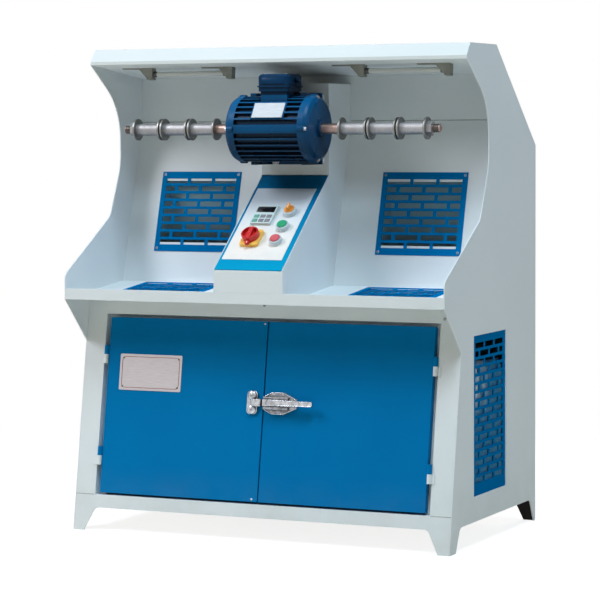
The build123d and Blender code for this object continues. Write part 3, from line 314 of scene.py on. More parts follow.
white = powder_coat(
    "white_paint", rgb(234, 239, 241), rgb(229, 235, 237), rgb(206, 211, 213), wear=0.35, dust=0.3, gloss=0.08
)
# A darker copy of the white paint: painted shade on the roof, which faces the lamps
roof_white = powder_coat(
    "white_paint_shade_painted_roof", rgb(226, 229, 227), rgb(220, 224, 222), rgb(202, 205, 203),
    wear=0.35, gloss=0.08,
)
# White paint with a dark painted shade on its faces that look to the front, the inside of the rear apron
white_shaded_inside = powder_coat(
    "white_paint_shade_painted_inside", rgb(234, 239, 241), rgb(229, 235, 237), rgb(206, 211, 213),
    wear=0.35, gloss=0.1, inner=rgb(44, 42, 42),
)
blue = powder_coat(
    "blue_paint", rgb(0, 121, 182), rgb(0, 115, 176), rgb(50, 140, 186), wear=0.4, dust=0.08, gloss=0.04
)
cover_blue = powder_coat(
    "cover_paint", rgb(0, 118, 180), rgb(0, 108, 170), rgb(60, 140, 186), wear=0.45, gloss=0.0
)
hood_paint = powder_coat("hood_paint", rgb(168, 198, 206), rgb(152, 184, 194), rgb(180, 200, 206), gloss=0.04)
# Console panel: graded towards deep blue upwards, in part as print and near its top as painted shade under
# the motor
panel_blue = powder_coat(
    "panel_paint", rgb(0, 160, 202), rgb(0, 152, 196), rgb(70, 180, 216), wear=0.3, gloss=0.04,
    graded_tone_and_shade=(0.78, 0.98, rgb(4, 34, 110)),
)
# Motor paint: painted shade deep in its gaps, and painted shade growing downwards from a little above the
# axis
motor_paint = powder_coat(
    "motor_paint", rgb(0, 90, 140), rgb(0, 70, 114), rgb(60, 120, 160),
    rough=(0.20, 0.32), wear=0.4, peel=0.2, gloss=0.12,
    gap_shade=(0.03, rgb(20, 24, 34)), graded_tone_and_shade=(AXIS_Z + 0.08, AXIS_Z - 0.06, rgb(10, 18, 36)),
)
# Terminal box: a darker copy of the motor paint, painted shade under the roof, with painted shade deep in its
# gaps
box_paint = powder_coat(
    "box_paint", rgb(3, 52, 86), rgb(2, 40, 70), rgb(50, 100, 136),
    rough=(0.24, 0.36), wear=0.45, peel=0.2, gloss=0.10, gap_shade=(0.02, rgb(12, 14, 22)),
)
fan_paint = powder_coat("fan_paint", rgb(150, 155, 160), rgb(128, 134, 140), rgb(180, 182, 184), dust=0.3)
steel = turned_metal(
    "turned_steel", (0.40, 0.395, 0.40, 1), (0.25, 0.245, 0.25, 1), 0.46, 30, (60, 4, 4), 0.7, rust=0.45
)
flange_steel = turned_metal(
    "flange_steel", (0.30, 0.30, 0.29, 1), (0.17, 0.17, 0.16, 1), 0.36, 40, (30, 6, 6), 0.7, rust=0.3
)
shaft_metal = turned_metal("shaft_steel", (0.44, 0.32, 0.28, 1), (0.28, 0.19, 0.16, 1), 0.30, 30, (60, 4, 4))
core_iron = turned_metal("core_iron", (0.20, 0.20, 0.21, 1), (0.10, 0.10, 0.10, 1), 0.5, 40, (60, 2, 2))
# Chrome and dull chrome: the last argument is the reach of painted shade deep in their gaps
chrome = turned_metal("chrome", (0.72, 0.74, 0.77, 1), (0.32, 0.33, 0.35, 1), 0.10, 12, (5, 5, 5), 0.5, 0.014)
dull_chrome = turned_metal(
    "dull_chrome", (0.48, 0.50, 0.53, 1), (0.20, 0.21, 0.23, 1), 0.2, 14, (5, 5, 5), 0.6, 0.014
)
dark_steel = turned_metal(
    "blackened_steel", (0.12, 0.12, 0.11, 1), (0.05, 0.05, 0.05, 1), 0.36, 50, (20, 6, 6), 0.5
)
# Zinc screws: the last argument is the reach of painted shade in their recesses
zinc = turned_metal(
    "zinc_screw", (0.52, 0.53, 0.55, 1), (0.34, 0.34, 0.36, 1), 0.32, 60, (8, 8, 8), 0.4, 0.002
)
blue_zinc = turned_metal(
    "blue_zinc_screw", (0.30, 0.38, 0.46, 1), (0.18, 0.24, 0.30, 1), 0.36, 60, (8, 8, 8), 0.4, 0.002
)
plate = turned_metal(
    "plate_aluminium", (0.50, 0.46, 0.46, 1), (0.42, 0.39, 0.39, 1), 0.42, 18, (2, 60, 60), 0.3
)
tag_plate = turned_metal(
    "tag_aluminium", (0.40, 0.43, 0.45, 1), (0.33, 0.36, 0.38, 1), 0.5, 18, (2, 60, 60), 0.2
)
# Legend: its colour grades to a pale blue towards its top
legend = moulded(
    "legend_print", rgb(241, 235, 228), rgb(235, 230, 223), 0.4, 900, 0.04,
    fade=(0.87, 0.98, rgb(192, 206, 217)),
)
keypad = moulded("keypad_shell", rgb(206, 220, 220), rgb(194, 210, 211), 0.42)
key_grey = moulded("key_grey", rgb(134, 132, 138), rgb(118, 117, 125), 0.5)
key_green = moulded("key_green", rgb(100, 164, 146), rgb(86, 150, 134), 0.5)
collar_grey = moulded("collar_grey", rgb(208, 220, 226), rgb(196, 210, 218), 0.3)
green = moulded("start_green", rgb(46, 168, 120), rgb(36, 152, 106), 0.3)
stop_red = moulded("stop_red", rgb(214, 96, 104), rgb(200, 80, 90), 0.3)
switch_red = moulded("switch_red", rgb(214, 34, 34), rgb(196, 26, 28), 0.22)
amber = moulded("selector_amber", rgb(242, 160, 66), rgb(230, 142, 52), 0.3)
yellow = moulded("switch_yellow", rgb(252, 202, 96), rgb(248, 186, 76), 0.34)
# Lamp holders: a mid-grey that paints in the shade they lie in under the roof
lamp_shell = moulded("lamp_holder", rgb(148, 150, 143), rgb(122, 124, 116), 0.45)
black = moulded("black_plastic", rgb(30, 30, 32), rgb(20, 20, 22), 0.4)
marking = moulded("white_marking", rgb(236, 236, 232), rgb(224, 224, 220), 0.4)
sealant = moulded("seam_sealant", rgb(176, 180, 178), rgb(156, 160, 158), 0.6)
plate_line = moulded("plate_border", rgb(158, 78, 72), rgb(138, 66, 62), 0.5)
tube_glass = lamp_glass("lamp_tube_glass")
window_glass = dark_glass("display_glass")
mat_fibre = fibre_mat("filter_mat", rgb(46, 148, 196), rgb(238, 244, 246), rgb(24, 86, 122))
cloth = woven("filter_cloth", rgb(222, 214, 196), rgb(190, 180, 160))

LOOK = {
    "cabinet_white": white,
    "cabinet_blue": blue,
    "motor_blue": motor_paint,
    "fan_grey": fan_paint,
    "steel": steel,
    "shaft_steel": shaft_metal,
    "core_iron": core_iron,
    "chrome": chrome,
    "plate_aluminium": plate,
    "legend_white": legend,
    "keypad_grey": keypad,
    "key_grey": key_grey,
    "key_green": key_green,
    "green_plastic": green,
    "red_plastic": stop_red,
    "amber_plastic": amber,
    "yellow_plastic": yellow,
    "lamp_white": lamp_shell,
    "lamp_glass": tube_glass,
    "cloth": cloth,
    "black_plastic": black,
}
slot_of = {s["node"]: s["material_slot"] for s in frame["record"]["subparts"]}


def dress(obj, material):
    """Give a node one material."""
    obj.data.materials.clear()
    obj.data.materials.append(material)


OWN_LOOK = {
    "wheel_flanges": flange_steel,
    "switch_knob": switch_red,
    "console_panel": panel_blue,
    "control_collars": collar_grey,
    "motor_tag": tag_plate,
    "base_rear": white_shaded_inside,
    "roof": roof_white,
    "terminal_box": box_paint,
    "latch_base": dull_chrome,
    "side_grille": cover_blue,
    "back_grilles": cover_blue,
    "bench_grilles": cover_blue,
}
for name, obj in nodes.items():
    dress(obj, OWN_LOOK.get(name, LOOK[slot_of[name]]))


# Mesh building blocks
class Piece:
    """A mesh built up from simple parts, then hung on one body of the machine."""

    def __init__(self, name):
        self.name = name
        self.bm = bmesh.new()

    def lathe(self, place, profile, segments=24, start=0.0, dents=None):
        """A turned surface from (radius, height) points; a zero radius closes it in a point."""
        rings = []
        for radius, high in profile:
            if radius == 0:
                rings.append([self.bm.verts.new(place @ Vector((0, 0, high)))])
                continue
            ring = []
            for i in range(segments):
                a = start + 2 * pi * i / segments
                x, y = radius * cos(a), radius * sin(a)
                drop = dents(x, y) if dents else 0.0
                ring.append(self.bm.verts.new(place @ Vector((x, y, high - drop))))
            rings.append(ring)
        for low, top in zip(rings, rings[1:]):
            count = max(len(low), len(top))
            for i in range(count):
                j = (i + 1) % count
                corners = [low[i % len(low)], low[j % len(low)], top[j % len(top)], top[i % len(top)]]
                unique = list(dict.fromkeys(corners))
                if len(unique) > 2:
                    self.bm.faces.new(unique)

    def slab(self, place, outline, low, high, ease=0.0):
        """A flat outline raised between two heights, its upper edge eased by a bevel ring."""
        cx = sum(p[0] for p in outline) / len(outline)
        cy = sum(p[1] for p in outline) / len(outline)
        steps = [(0.0, low), (0.0, high - ease)]
        if ease:
            steps += [(0.3 * ease, high - 0.3 * ease), (ease, high)]
        rings = []
        for inset, z in steps:
            ring = []
            for x, y in outline:
                reach = hypot(x - cx, y - cy)
                k = 1 - inset / reach
                ring.append(self.bm.verts.new(place @ Vector((cx + (x - cx) * k, cy + (y - cy) * k, z))))
            rings.append(ring)
        count = len(outline)
        for lower, upper in zip(rings, rings[1:]):
            for i in range(count):
                j = (i + 1) % count
                self.bm.faces.new((lower[i], lower[j], upper[j], upper[i]))
        self.bm.faces.new(rings[-1])
        self.bm.faces.new(rings[0][::-1])

    def tube(self, points, radius, sides=10, closed=False):
        """A round wire or band along a list of points."""
        rings = []
        count = len(points)
        for i, p in enumerate(points):
            before = points[i - 1] if i or closed else p
            after = points[(i + 1) % count] if i + 1 < count or closed else p
            along = (after - before).normalized()
            if rings:
                side = (side - along * side.dot(along)).normalized()
            else:
                side = along.orthogonal().normalized()
            other = along.cross(side)
            ring = [
                self.bm.verts.new(p + (side * cos(a) + other * sin(a)) * radius)
                for a in (2 * pi * k / sides for k in range(sides))
            ]
            rings.append(ring)
        pairs = list(zip(rings, rings[1:]))
        if closed:
            pairs.append((rings[-1], rings[0]))
        for low, top in pairs:
            for k in range(sides):
                m = (k + 1) % sides
                self.bm.faces.new((low[k], low[m], top[m], top[k]))
        if not closed:
            self.bm.faces.new(rings[0][::-1])
            self.bm.faces.new(rings[-1])

    def done(self, body, material, slot, smooth=35):
        """Turn the piece into an object that rides on a body, smooth up to an angle in degrees."""
        mesh = bpy.data.meshes.new(self.name)
        bmesh.ops.recalc_face_normals(self.bm, faces=self.bm.faces[:])
        self.bm.to_mesh(mesh)
        self.bm.free()
        obj = bpy.data.objects.new(self.name, mesh)
        scene.collection.objects.link(obj)
        mesh.materials.append(material)
        mesh.shade_smooth()
        mesh.set_sharp_from_angle(angle=radians(smooth))
        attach(obj, body)
        return obj


def surface(origin, tilt):
    """Local frame of a leaning face: z out of the face, y up along it, tilt from upright in radians."""
    out = Vector((0, -cos(tilt), sin(tilt)))
    along = Vector((0, sin(tilt), cos(tilt)))
    turn = Matrix((Vector((1, 0, 0)), along, out)).transposed().to_4x4()
    return Matrix.Translation(Vector(origin)) @ turn


def at(place, x, y, z=0.0):
    """A local frame shifted within itself."""
    return place @ Matrix.Translation(Vector((x, y, z)))


def facing(origin, out, across=(1, 0, 0)):
    """Local frame at a point, with z along a direction."""
    z = Vector(out).normalized()
    x = Vector(across)
    x = (x - z * x.dot(z)).normalized()
    turn = Matrix((x, z.cross(x), z)).transposed().to_4x4()
    return Matrix.Translation(Vector(origin)) @ turn


# Leaning faces that carry details: door front, back wall, bench tray and console
LEAN, WALL_LEAN = radians(9.2), atan2(0.135, 0.483)
wall_foot = (0, -0.022, 0.722)
front = surface((0, -0.333, 0), LEAN)
wall = surface(wall_foot, WALL_LEAN)
tray = surface(wall_foot, pi / 2 - atan2(0.034, 0.345))
console = surface((0, -0.367, 0.784), pi / 2 - atan2(0.263, 0.321))
COVER_UP = 0.211 / cos(WALL_LEAN)


def up(z):
    """Distance along the leaning front that reaches a height."""
    return z / cos(LEAN)


def cross_slot(radius, depth):
    """Depth of a cross recess in a screw head, at a point of the head."""
    arm, bar = radius * 0.62, radius * 0.17

    def drop(x, y):
        inside = (abs(x) < bar and abs(y) < arm) or (abs(y) < bar and abs(x) < arm)
        return depth if inside else 0.0

    return drop


def pan_screw(piece, place, radius, turn=0.0):
    """Domed screw head with a cross recess, on a washer."""
    spin = place @ Matrix.Rotation(turn, 4, "Z")
    high = radius * 0.55
    dome = [(radius * 1.3, 0), (radius * 1.3, high * 0.25), (radius, high * 0.25), (radius, high * 0.55)]
    dome += [(radius * s, high * (0.55 + 0.45 * (1 - s * s))) for s in (0.85, 0.66, 0.58, 0.4, 0.2, 0.12)]
    piece.lathe(spin, dome + [(0, high * 0.5)], 24, 0.0, cross_slot(radius, high * 0.5))


def dome_rivet(piece, place, radius):
    """Low domed rivet head with a mandrel dimple."""
    high = radius * 0.5
    dome = [(radius * cos(a), high * sin(a)) for a in (0.0, 0.25, 0.5, 0.75, 1.0, 1.2)]
    piece.lathe(place, dome + [(radius * 0.25, high * 0.8), (0, high * 0.8)], 20)


def hex_bolt(piece, place, flats, high):
    """Hexagon bolt head with a chamfered crown, on a round washer."""
    corner = flats / 2 / cos(pi / 6)
    piece.lathe(place, [(0, 0), (corner * 1.25, 0), (corner * 1.25, high * 0.2), (0, high * 0.2)], 28)
    crown = [(0, high * 0.2), (corner, high * 0.2), (corner, high * 0.85), (corner * 0.84, high), (0, high)]
    piece.lathe(place, crown, 6)


def round_rect(w, h, r, steps=5):
    """Outline of a rectangle with rounded corners, counter-clockwise."""
    points = []
    for cx, cy, a0 in ((1, 1, 0), (-1, 1, 1), (-1, -1, 2), (1, -1, 3)):
        for k in range(steps + 1):
            a = (a0 + k / steps) * pi / 2
            points.append((cx * (w / 2 - r) + r * cos(a), cy * (h / 2 - r) + r * sin(a)))
    return points


def eased(points, share, steps=5):
    """An open line with each inner corner rounded over a share of its two runs."""
    line = [points[0]]
    for before, corner, after in zip(points, points[1:], points[2:]):
        a, b, c = Vector(before), Vector(corner), Vector(after)
        first, last = b.lerp(a, share), b.lerp(c, share)
        for k in range(steps + 1):
            t = k / steps
            line.append(tuple(first.lerp(b, t).lerp(b.lerp(last, t), t)))
    return line + [points[-1]]


# Screws of the perforated covers
TRAY_COVER_UP, COVER_T = -0.118, 0.002
cover_screws = Piece("cover_screws")
for side in (-1, 1):
    for dx in (-0.125, 0.125):
        for dy in (-0.1155, 0.1155):
            spot = at(wall, side * COVER_X + dx, COVER_UP + dy, COVER_T)
            pan_screw(cover_screws, spot, 0.0034, 0.4 + dx * 9 + dy * 5)
        for dy in (-0.086, 0.086):
            spot = at(tray, side * COVER_X + dx, TRAY_COVER_UP + dy, COVER_T)
            pan_screw(cover_screws, spot, 0.0032, 0.9 + dx * 7 + dy * 3)
cover_screws.done("cabinet", blue_zinc, "steel")

# Screws of the frame and of the rear covers
frame_screws = Piece("frame_screws")
for x, z in ((-0.017, 0.673), (0.545, 0.649)):
    pan_screw(frame_screws, at(front, x, up(z)), 0.0036, x * 30)
rear_columns = (-0.575, -0.29, 0, 0.29, 0.575)
rear_y, rear_screw_r = 0.364, 0.0045
rear_out = Vector((0, 1, 0))
for x in rear_columns:
    for z in (0.125, 1.105):
        pan_screw(frame_screws, facing((x, rear_y, z), rear_out), rear_screw_r, x * 9 + z)
for x in (rear_columns[0], rear_columns[-1]):
    for z in (0.37, 0.615, 0.86):
        pan_screw(frame_screws, facing((x, rear_y, z), rear_out), rear_screw_r, z * 7)
slope_out = Vector((0, 0.290, 0.332)).normalized()
slope_top = Vector((0, 0.035, 1.42)) - slope_out * 0.003
slope_low = Vector((0, 0.367, 1.13)) - slope_out * 0.003
for share in (0.06, 0.94):
    spot = slope_top.lerp(slope_low, share)
    for x in rear_columns:
        pan_screw(frame_screws, facing((x, spot.y, spot.z), slope_out), rear_screw_r, x * 8 + share)
frame_screws.done("cabinet", zinc, "steel")

# Rivets and border line of the doors and their plate
left_rivets = Piece("left_door_rivets")
dome_rivet(left_rivets, at(front, -0.0107, up(0.621)), 0.0035)
dome_rivet(left_rivets, at(front, -0.019, up(0.120)), 0.0035)
left_rivets.done("left_door", zinc, "steel")
plate_mid = at(front, -0.375, up(0.4675), 0.0015)
plate_rivets = Piece("door_plate_rivets")
for dx in (-0.0915, 0.0915):
    for dy in (-0.042, 0.042):
        dome_rivet(plate_rivets, at(plate_mid, dx, dy), 0.0028)
plate_rivets.done("left_door", dark_steel, "steel")
border = Piece("door_plate_border")
ring = [plate_mid @ Vector((x, y, 0.0002)) for x, y in round_rect(0.190, 0.091, 0.012, 6)]
border.tube(ring, 0.0007, 8, True)
border.done("left_door", plate_line, "plate_aluminium")
tag_turn = radians(34)
tag_out = Vector((0, -cos(tag_turn), sin(tag_turn)))
tag_mid = facing(Vector((0.005, AXIS_Y, AXIS_Z)) + tag_out * 0.0965, tag_out)
tag_rivets = Piece("motor_tag_rivets")
for dx in (-0.0435, 0.0435):
    for dy in (-0.0205, 0.0205):
        dome_rivet(tag_rivets, at(tag_mid, dx, dy), 0.0022)
tag_rivets.done("cabinet", zinc, "steel")

# Motor bolts: lugs with bolts on the end shields, foot bolts and the lid screws of the box
lugs = Piece("shield_lugs")
lug_bolts = Piece("motor_bolts")
for side in (-1, 1):
    for quarter in range(4):
        a = quarter * pi / 2
        out = Vector((0, -cos(a), sin(a)))
        spot = Vector((side * 0.118, AXIS_Y, AXIS_Z)) + out * 0.0905
        lug_place = facing(spot - Vector((side * 0.015, 0, 0)), (side, 0, 0), out)
        outline = [(0.010 * cos(t) - 0.001, 0.010 * sin(t)) for t in (2 * pi * k / 24 for k in range(24))]
        lugs.slab(lug_place, outline, 0.0, 0.020, 0.0015)
        hex_bolt(lug_bolts, at(lug_place, -0.001, 0, 0.020), 0.010, 0.0065)
for side in (-1, 1):
    for level in (-1, 1):
        spot = (side * 0.052, -0.070, AXIS_Z + level * 0.093)
        hex_bolt(lug_bolts, facing(spot, (0, -1, 0)), 0.017, 0.009)
lugs.done("cabinet", motor_paint, "motor_blue")
for dx in (-0.039, 0.039):
    for dy in (-0.039, 0.039):
        pan_screw(lug_bolts, facing((0.005 + dx, AXIS_Y + dy, 1.340), (0, 0, 1)), 0.0035, dx * 20)
lug_bolts.done("cabinet", zinc, "steel")

# Latch: domed screw bosses on the keeper and the screws of the base
latch_place = at(front, 0, up(0.395))
keeper_bosses = Piece("keeper_bosses")
keeper_screws = Piece("keeper_screws")
keeper_x = -0.0345
boss = [(0.0135, -0.0005), (0.0135, 0.001), (0.0128, 0.0028), (0.0108, 0.0046), (0.0080, 0.0058)]
boss.append((0, 0.0062))
for level in (-0.0205, 0.0205):
    keeper_bosses.lathe(at(latch_place, keeper_x, level, 0.005), boss, 32)
    pan_screw(keeper_screws, at(latch_place, keeper_x, level, 0.0108), 0.0042, 0.5 + 20 * level)
keeper_bosses.done("left_door", chrome, "chrome")
keeper_screws.done("left_door", zinc, "steel")
latch_screws = Piece("latch_screws")
for x in (0.036, 0.064):
    for level in (-0.0245, 0.0245):
        pan_screw(latch_screws, at(latch_place, x, level, 0.007), 0.0030, 30 * x + 9 * level)
latch_screws.done("right_door", zinc, "steel")

# Bead along the edge of the latch base, open where the lever's nose leaves it
base_bead = Piece("latch_base_bead")
bead_side = [(0.0045, 0.0125), (0.0045, 0.0172), (0.0290, 0.0303), (0.0663, 0.0303), (0.1068, 0.0119)]
bead_line = bead_side + [(x, -y) for x, y in reversed(bead_side)]
base_bead.tube([latch_place @ Vector((x, y, 0.0068)) for x, y in eased(bead_line, 0.22)], 0.0017, 12)
base_bead.done("right_door", chrome, "chrome", 60)

# Rolled rim round the top of the latch lever
lever_rim = Piece("lever_rim")
rim_z = 0.0301
rim_side = [(0.020, 0.0082, 0.0262), (0.060, 0.0076, 0.0276), (0.131, 0.0060, rim_z)]
rim_side += [(0.160, 0.0060, rim_z), (0.1640, 0.0046, rim_z), (0.1655, 0.0020, rim_z)]
rim_loop = rim_side + [(x, -y, z) for x, y, z in reversed(rim_side)]
lever_rim.tube([latch_place @ Vector(p) for p in rim_loop], 0.0014, 12, True)
lever_rim.done("lever", chrome, "chrome", 60)

# Sealed seams along the bend of the back wall, beside the column, and under the posts
seam = Piece("wall_seams")
for side in (-1, 1):
    seam.tube([Vector((side * x, 0.1128, 1.205)) for x in (0.110, 0.35, 0.5965)], 0.0013, 8)
for side in (-1, 1):
    seam.tube([front @ Vector((side * x, up(0.106), 0)) for x in (0.5365, 0.567, 0.5975)], 0.0009, 8)
seam.done("cabinet", sealant, "cabinet_white")

# Lid panel of the terminal box: a shallow raised field on its front and right side
lid_field = Piece("box_lid_field")
for place, wide in (
    (facing((0.005, AXIS_Y - 0.049, 1.320), (0, -1, 0)), 0.074),
    (facing((0.054, AXIS_Y - 0.022, 1.320), (1, 0, 0), (0, 1, 0)), 0.036),
):
    lid_field.slab(place, round_rect(wide, 0.020, 0.004), -0.0005, 0.0012, 0.0008)
lid_field.done("cabinet", box_paint, "motor_blue")

# Threads on the free ends of the arbor
for side, name in ((-1, "arbor_thread_left"), (1, "arbor_thread_right")):
    thread = Piece(name)
    turns, steps, pitch = 9, 28, 0.0021
    start_x, root_r, crest_r = 0.4825, 0.01152, 0.0120
    rings = []
    for i in range(turns * steps + 1):
        a = 2 * pi * i / steps
        x = start_x + pitch * i / steps
        ring = []
        for r, dx in ((root_r, 0.0), (crest_r, 0.0008), (crest_r, 0.0011), (root_r, 0.0019)):
            ring.append(thread.bm.verts.new((side * (x + dx), AXIS_Y + r * cos(a), AXIS_Z + r * sin(a))))
        rings.append(ring)
    for low, top in zip(rings, rings[1:]):
        for k in range(4):
            m = (k + 1) % 4
            thread.bm.faces.new((low[k], low[m], top[m], top[k]))
    thread.bm.faces.new(rings[0])
    thread.bm.faces.new(rings[-1][::-1])
    thread.done("arbor", dark_steel, "steel", 20)

# Display window, pointer marks on the selector and the main switch
display = Piece("display_window")
window = round_rect(0.0574, 0.0244, 0.0012, 3)
display.slab(at(console, -0.030, 0.2485, 0.0092), window, 0.0, 0.0008, 0.0003)
display.done("cabinet", window_glass, "black_plastic")
selector_mark = Piece("selector_mark")
stroke = round_rect(0.0016, 0.014, 0.0007, 3)
selector_mark.slab(at(console, 0.047, 0.244, 0.0302), stroke, 0.0, 0.0004, 0.0001)
selector_mark.done("selector", marking, "legend_white")
switch_mark = Piece("switch_mark")
stroke = round_rect(0.002, 0.008, 0.0009, 3)
switch_mark.slab(at(console, -0.033, 0.0955, 0.0205), stroke, 0.0, 0.0004, 0.0001)
switch_mark.done("main_switch", marking, "legend_white")

# Metal caps at the ends of the lamp tubes
ceiling_tilt = atan2(0.035, 0.313)
lamp_down = Vector((0, -sin(ceiling_tilt), -cos(ceiling_tilt)))
lamp_back = Vector((0, cos(ceiling_tilt), -sin(ceiling_tilt)))
lamp_mid = Vector((0, -0.2, 1.374)) + lamp_back * 0.088 + lamp_down * 0.018
cap = [(0.0086, 0.0), (0.0086, 0.0095), (0.0081, 0.0105), (0.0081, 0.0125), (0.0080, 0.0130)]
caps = Piece("lamp_caps")
for x in (-0.3085, 0.3795):
    for side in (-1, 1):
        end = facing(lamp_mid + Vector((x + side * 0.1233, 0, 0)), (-side, 0, 0), (0, 1, 0))
        caps.lathe(end, cap, 24)
caps.done("cabinet", dark_steel, "steel")


# Filter bags: cloth gathered at the neck by a band, full below, with a sewn seam and a rounded foot
BAG_Y, SLEEVE_R, BAND_Z = 0.070, 0.0654, 0.612


def smooth(t):
    """Ease a share between 0 and 1, flat at both ends."""
    t = min(1.0, max(0.0, t))
    return t * t * (3 - 2 * t)


def filter_bag(name, x, phase):
    """One bag as an open shell of rings, with its cloth area and its widest girth."""
    bag = Piece(name)
    count, levels = 96, 60
    top_z, neck_z, low_z = 0.634, 0.598, 0.216
    full_r, most_r, sag, foot_h, foot_share = 0.0885, 0.0972, 0.002, 0.052, 0.12
    pleat_low, pleat_more, crease_high, slack_high = 0.0008, 0.0044, 0.0034, 0.0012
    seam_at, seam_high, seam_half = 4.0 + 0.5 * phase, 0.0016, 0.035
    rings = []
    for i in range(levels + 1):
        t = i / levels
        z = top_z + (low_z - top_z) * t
        s = max(0.0, (neck_z - z) / (neck_z - low_z))
        full = smooth(s / 0.26)
        base = SLEEVE_R + (full_r - SLEEVE_R) * full + sag * smooth((s - 0.4) / 0.4)
        pleat = pleat_low + pleat_more * smooth(s / 0.04) * (1 - smooth((s - 0.04) / 0.34))
        crease = crease_high * full
        above = min(1.0, max(0.0, (z - low_z) / foot_h))
        close = max(foot_share, (1 - (1 - above) ** 2) ** 0.5)
        ring = []
        for k in range(count):
            a = 2 * pi * k / count
            folds = pleat * (0.7 * sin(15 * a + phase) + 0.3 * sin(24 * a - 2 * phase))
            drape = crease * (0.6 * sin(5 * a + phase + 3.0 * s) + 0.4 * sin(9 * a - phase - 4.5 * s))
            slack = slack_high * full * sin(46 * s + 3 * sin(2 * a + phase) + phase)
            away = (a - seam_at + pi) % (2 * pi) - pi
            sewn = seam_high * exp(-((away / seam_half) ** 2))
            r = min(most_r, base + folds + drape + slack + sewn * full) * close
            ring.append(bag.bm.verts.new((x + r * cos(a), BAG_Y + r * sin(a), z)))
        rings.append(ring)
    for low, top in zip(rings, rings[1:]):
        for k in range(count):
            m = (k + 1) % count
            bag.bm.faces.new((low[k], low[m], top[m], top[k]))
    bag.bm.faces.new(rings[-1])
    area = sum(f.calc_area() for f in bag.bm.faces)
    girth = max(sum((ring[k].co - ring[k - 1].co).length for k in range(count)) for ring in rings)
    obj = bag.done("cabinet", cloth, "cloth", 80)
    layer = obj.modifiers.new("cloth_thickness", "SOLIDIFY")
    layer.thickness, layer.offset = 0.0011, -1
    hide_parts("filter_bags")
    return obj, area, girth


def band_clamp(name, x):
    """Hose band round the neck of a bag, with its worm screw housing."""
    band = Piece(name)
    place = Matrix.Translation(Vector((x, BAG_Y, BAND_Z)))
    outer_r, half_h = 0.0664, 0.006
    rim = [(SLEEVE_R, -half_h), (outer_r, -half_h), (outer_r, half_h), (SLEEVE_R, half_h)]
    band.lathe(place, rim + rim[:1], 72)
    housing = facing((x, BAG_Y - 0.0662, BAND_Z), (0, -1, 0))
    band.slab(housing, round_rect(0.016, 0.013, 0.002, 3), 0.0, 0.007, 0.001)
    hex_bolt(band, facing((x + 0.0078, BAG_Y - 0.0700, BAND_Z), (1, 0, 0)), 0.0055, 0.005)
    return band.done("cabinet", zinc, "steel")


for name, x, phase in (("filter_bag_left", -0.400, 0.4), ("filter_bag_right", -0.150, 2.1)):
    obj, area, girth = filter_bag(name, x, phase)
    clamp = band_clamp(name.replace("bag", "band"), x)


# Hoods of folded sheet behind the covers of the back wall, open below to the suction chamber
def hood(piece, place, half_w, low, high, shallow, deep):
    """Flanged hood behind a face: closed on three sides, deeper towards its open lower end."""
    corner, flange, bend = 0.014, 0.012, 0.003
    rings = []
    for grow, top, foot in (
        (flange, 0.0, 0.0), (0.0, 0.0, 0.0), (-bend, -bend, -bend), (-2 * bend, -shallow, -deep)
    ):
        w, h = half_w + grow, high + grow
        outline = [(-w, low, foot)]
        for cx, first in ((corner - w, pi), (w - corner, pi / 2)):
            for k in range(5):
                a = first - k * pi / 8
                outline.append((cx + corner * cos(a), h - corner + corner * sin(a), top))
        outline.append((w, low, foot))
        rings.append([piece.bm.verts.new(place @ Vector(v)) for v in outline])
    for outer, inner in zip(rings, rings[1:]):
        for k in range(len(outer) - 1):
            piece.bm.faces.new((outer[k], outer[k + 1], inner[k + 1], inner[k]))
    piece.bm.faces.new(rings[-1])


hoods = Piece("cover_hoods")
for side in (-1, 1):
    hood(hoods, at(wall, side * COVER_X, COVER_UP, -0.0027), 0.128, -0.112, 0.104, 0.036, 0.072)
hoods = hoods.done("cabinet", hood_paint, "cabinet_blue")
sheet = hoods.modifiers.new("sheet_thickness", "SOLIDIFY")
sheet.thickness, sheet.offset = 0.0012, 0

# Filter mat between the fan outlet and the side cover, slumped below the top rows of slots
mat = Piece("exhaust_mat")
mat_x, mat_y, mat_w, mat_foot, mat_top = 0.5905, -0.016, 0.258, 0.140, 0.522
across, rows = 26, 38
grid = []
for i in range(rows + 1):
    t = i / rows
    line = []
    for k in range(across + 1):
        y = mat_y + mat_w * (k / across - 0.5)
        slump = 0.010 * sin(9 * y + 0.8) * t * t
        z = mat_foot + (mat_top - mat_foot) * t - slump
        ripple = 0.0007 * sin(46 * y + 21 * z) + 0.0006 * sin(83 * z - 17 * y)
        lean = 0.016 * max(0.0, (t - 0.90) / 0.10) ** 2
        line.append(mat.bm.verts.new((mat_x + ripple - lean, y, z)))
    grid.append(line)
for low, top in zip(grid, grid[1:]):
    for k in range(across):
        mat.bm.faces.new((low[k], low[k + 1], top[k + 1], top[k]))
mat_area = sum(f.calc_area() for f in mat.bm.faces)
mat = mat.done("cabinet", mat_fibre, "cloth", 80)
layer = mat.modifiers.new("mat_thickness", "SOLIDIFY")
layer.thickness, layer.offset = 0.0050, 0

# Bolted inlet ring on the front of the suction fan
inlet = Piece("fan_inlet_ring")
fan_face = facing((0.330, -0.005, 0.340), (0, -1, 0))
bore_r, rim_r, flange_h, neck_h = 0.0685, 0.092, 0.003, 0.006
ring_profile = [(bore_r, 0.0), (rim_r, 0.0), (rim_r, flange_h), (0.076, flange_h), (0.071, neck_h)]
ring_profile += [(bore_r, neck_h), (bore_r, 0.0)]
inlet.lathe(fan_face, ring_profile, 64)
inlet.done("cabinet", fan_paint, "fan_grey")
inlet_bolts = Piece("fan_inlet_bolts")
bolts, bolt_circle_r = 8, 0.085
for i in range(bolts):
    a = 2 * pi * (i + 0.5) / bolts
    spot = at(fan_face, bolt_circle_r * cos(a), bolt_circle_r * sin(a), flange_h)
    hex_bolt(inlet_bolts, spot, 0.008, 0.005)
inlet_bolts.done("cabinet", zinc, "steel")

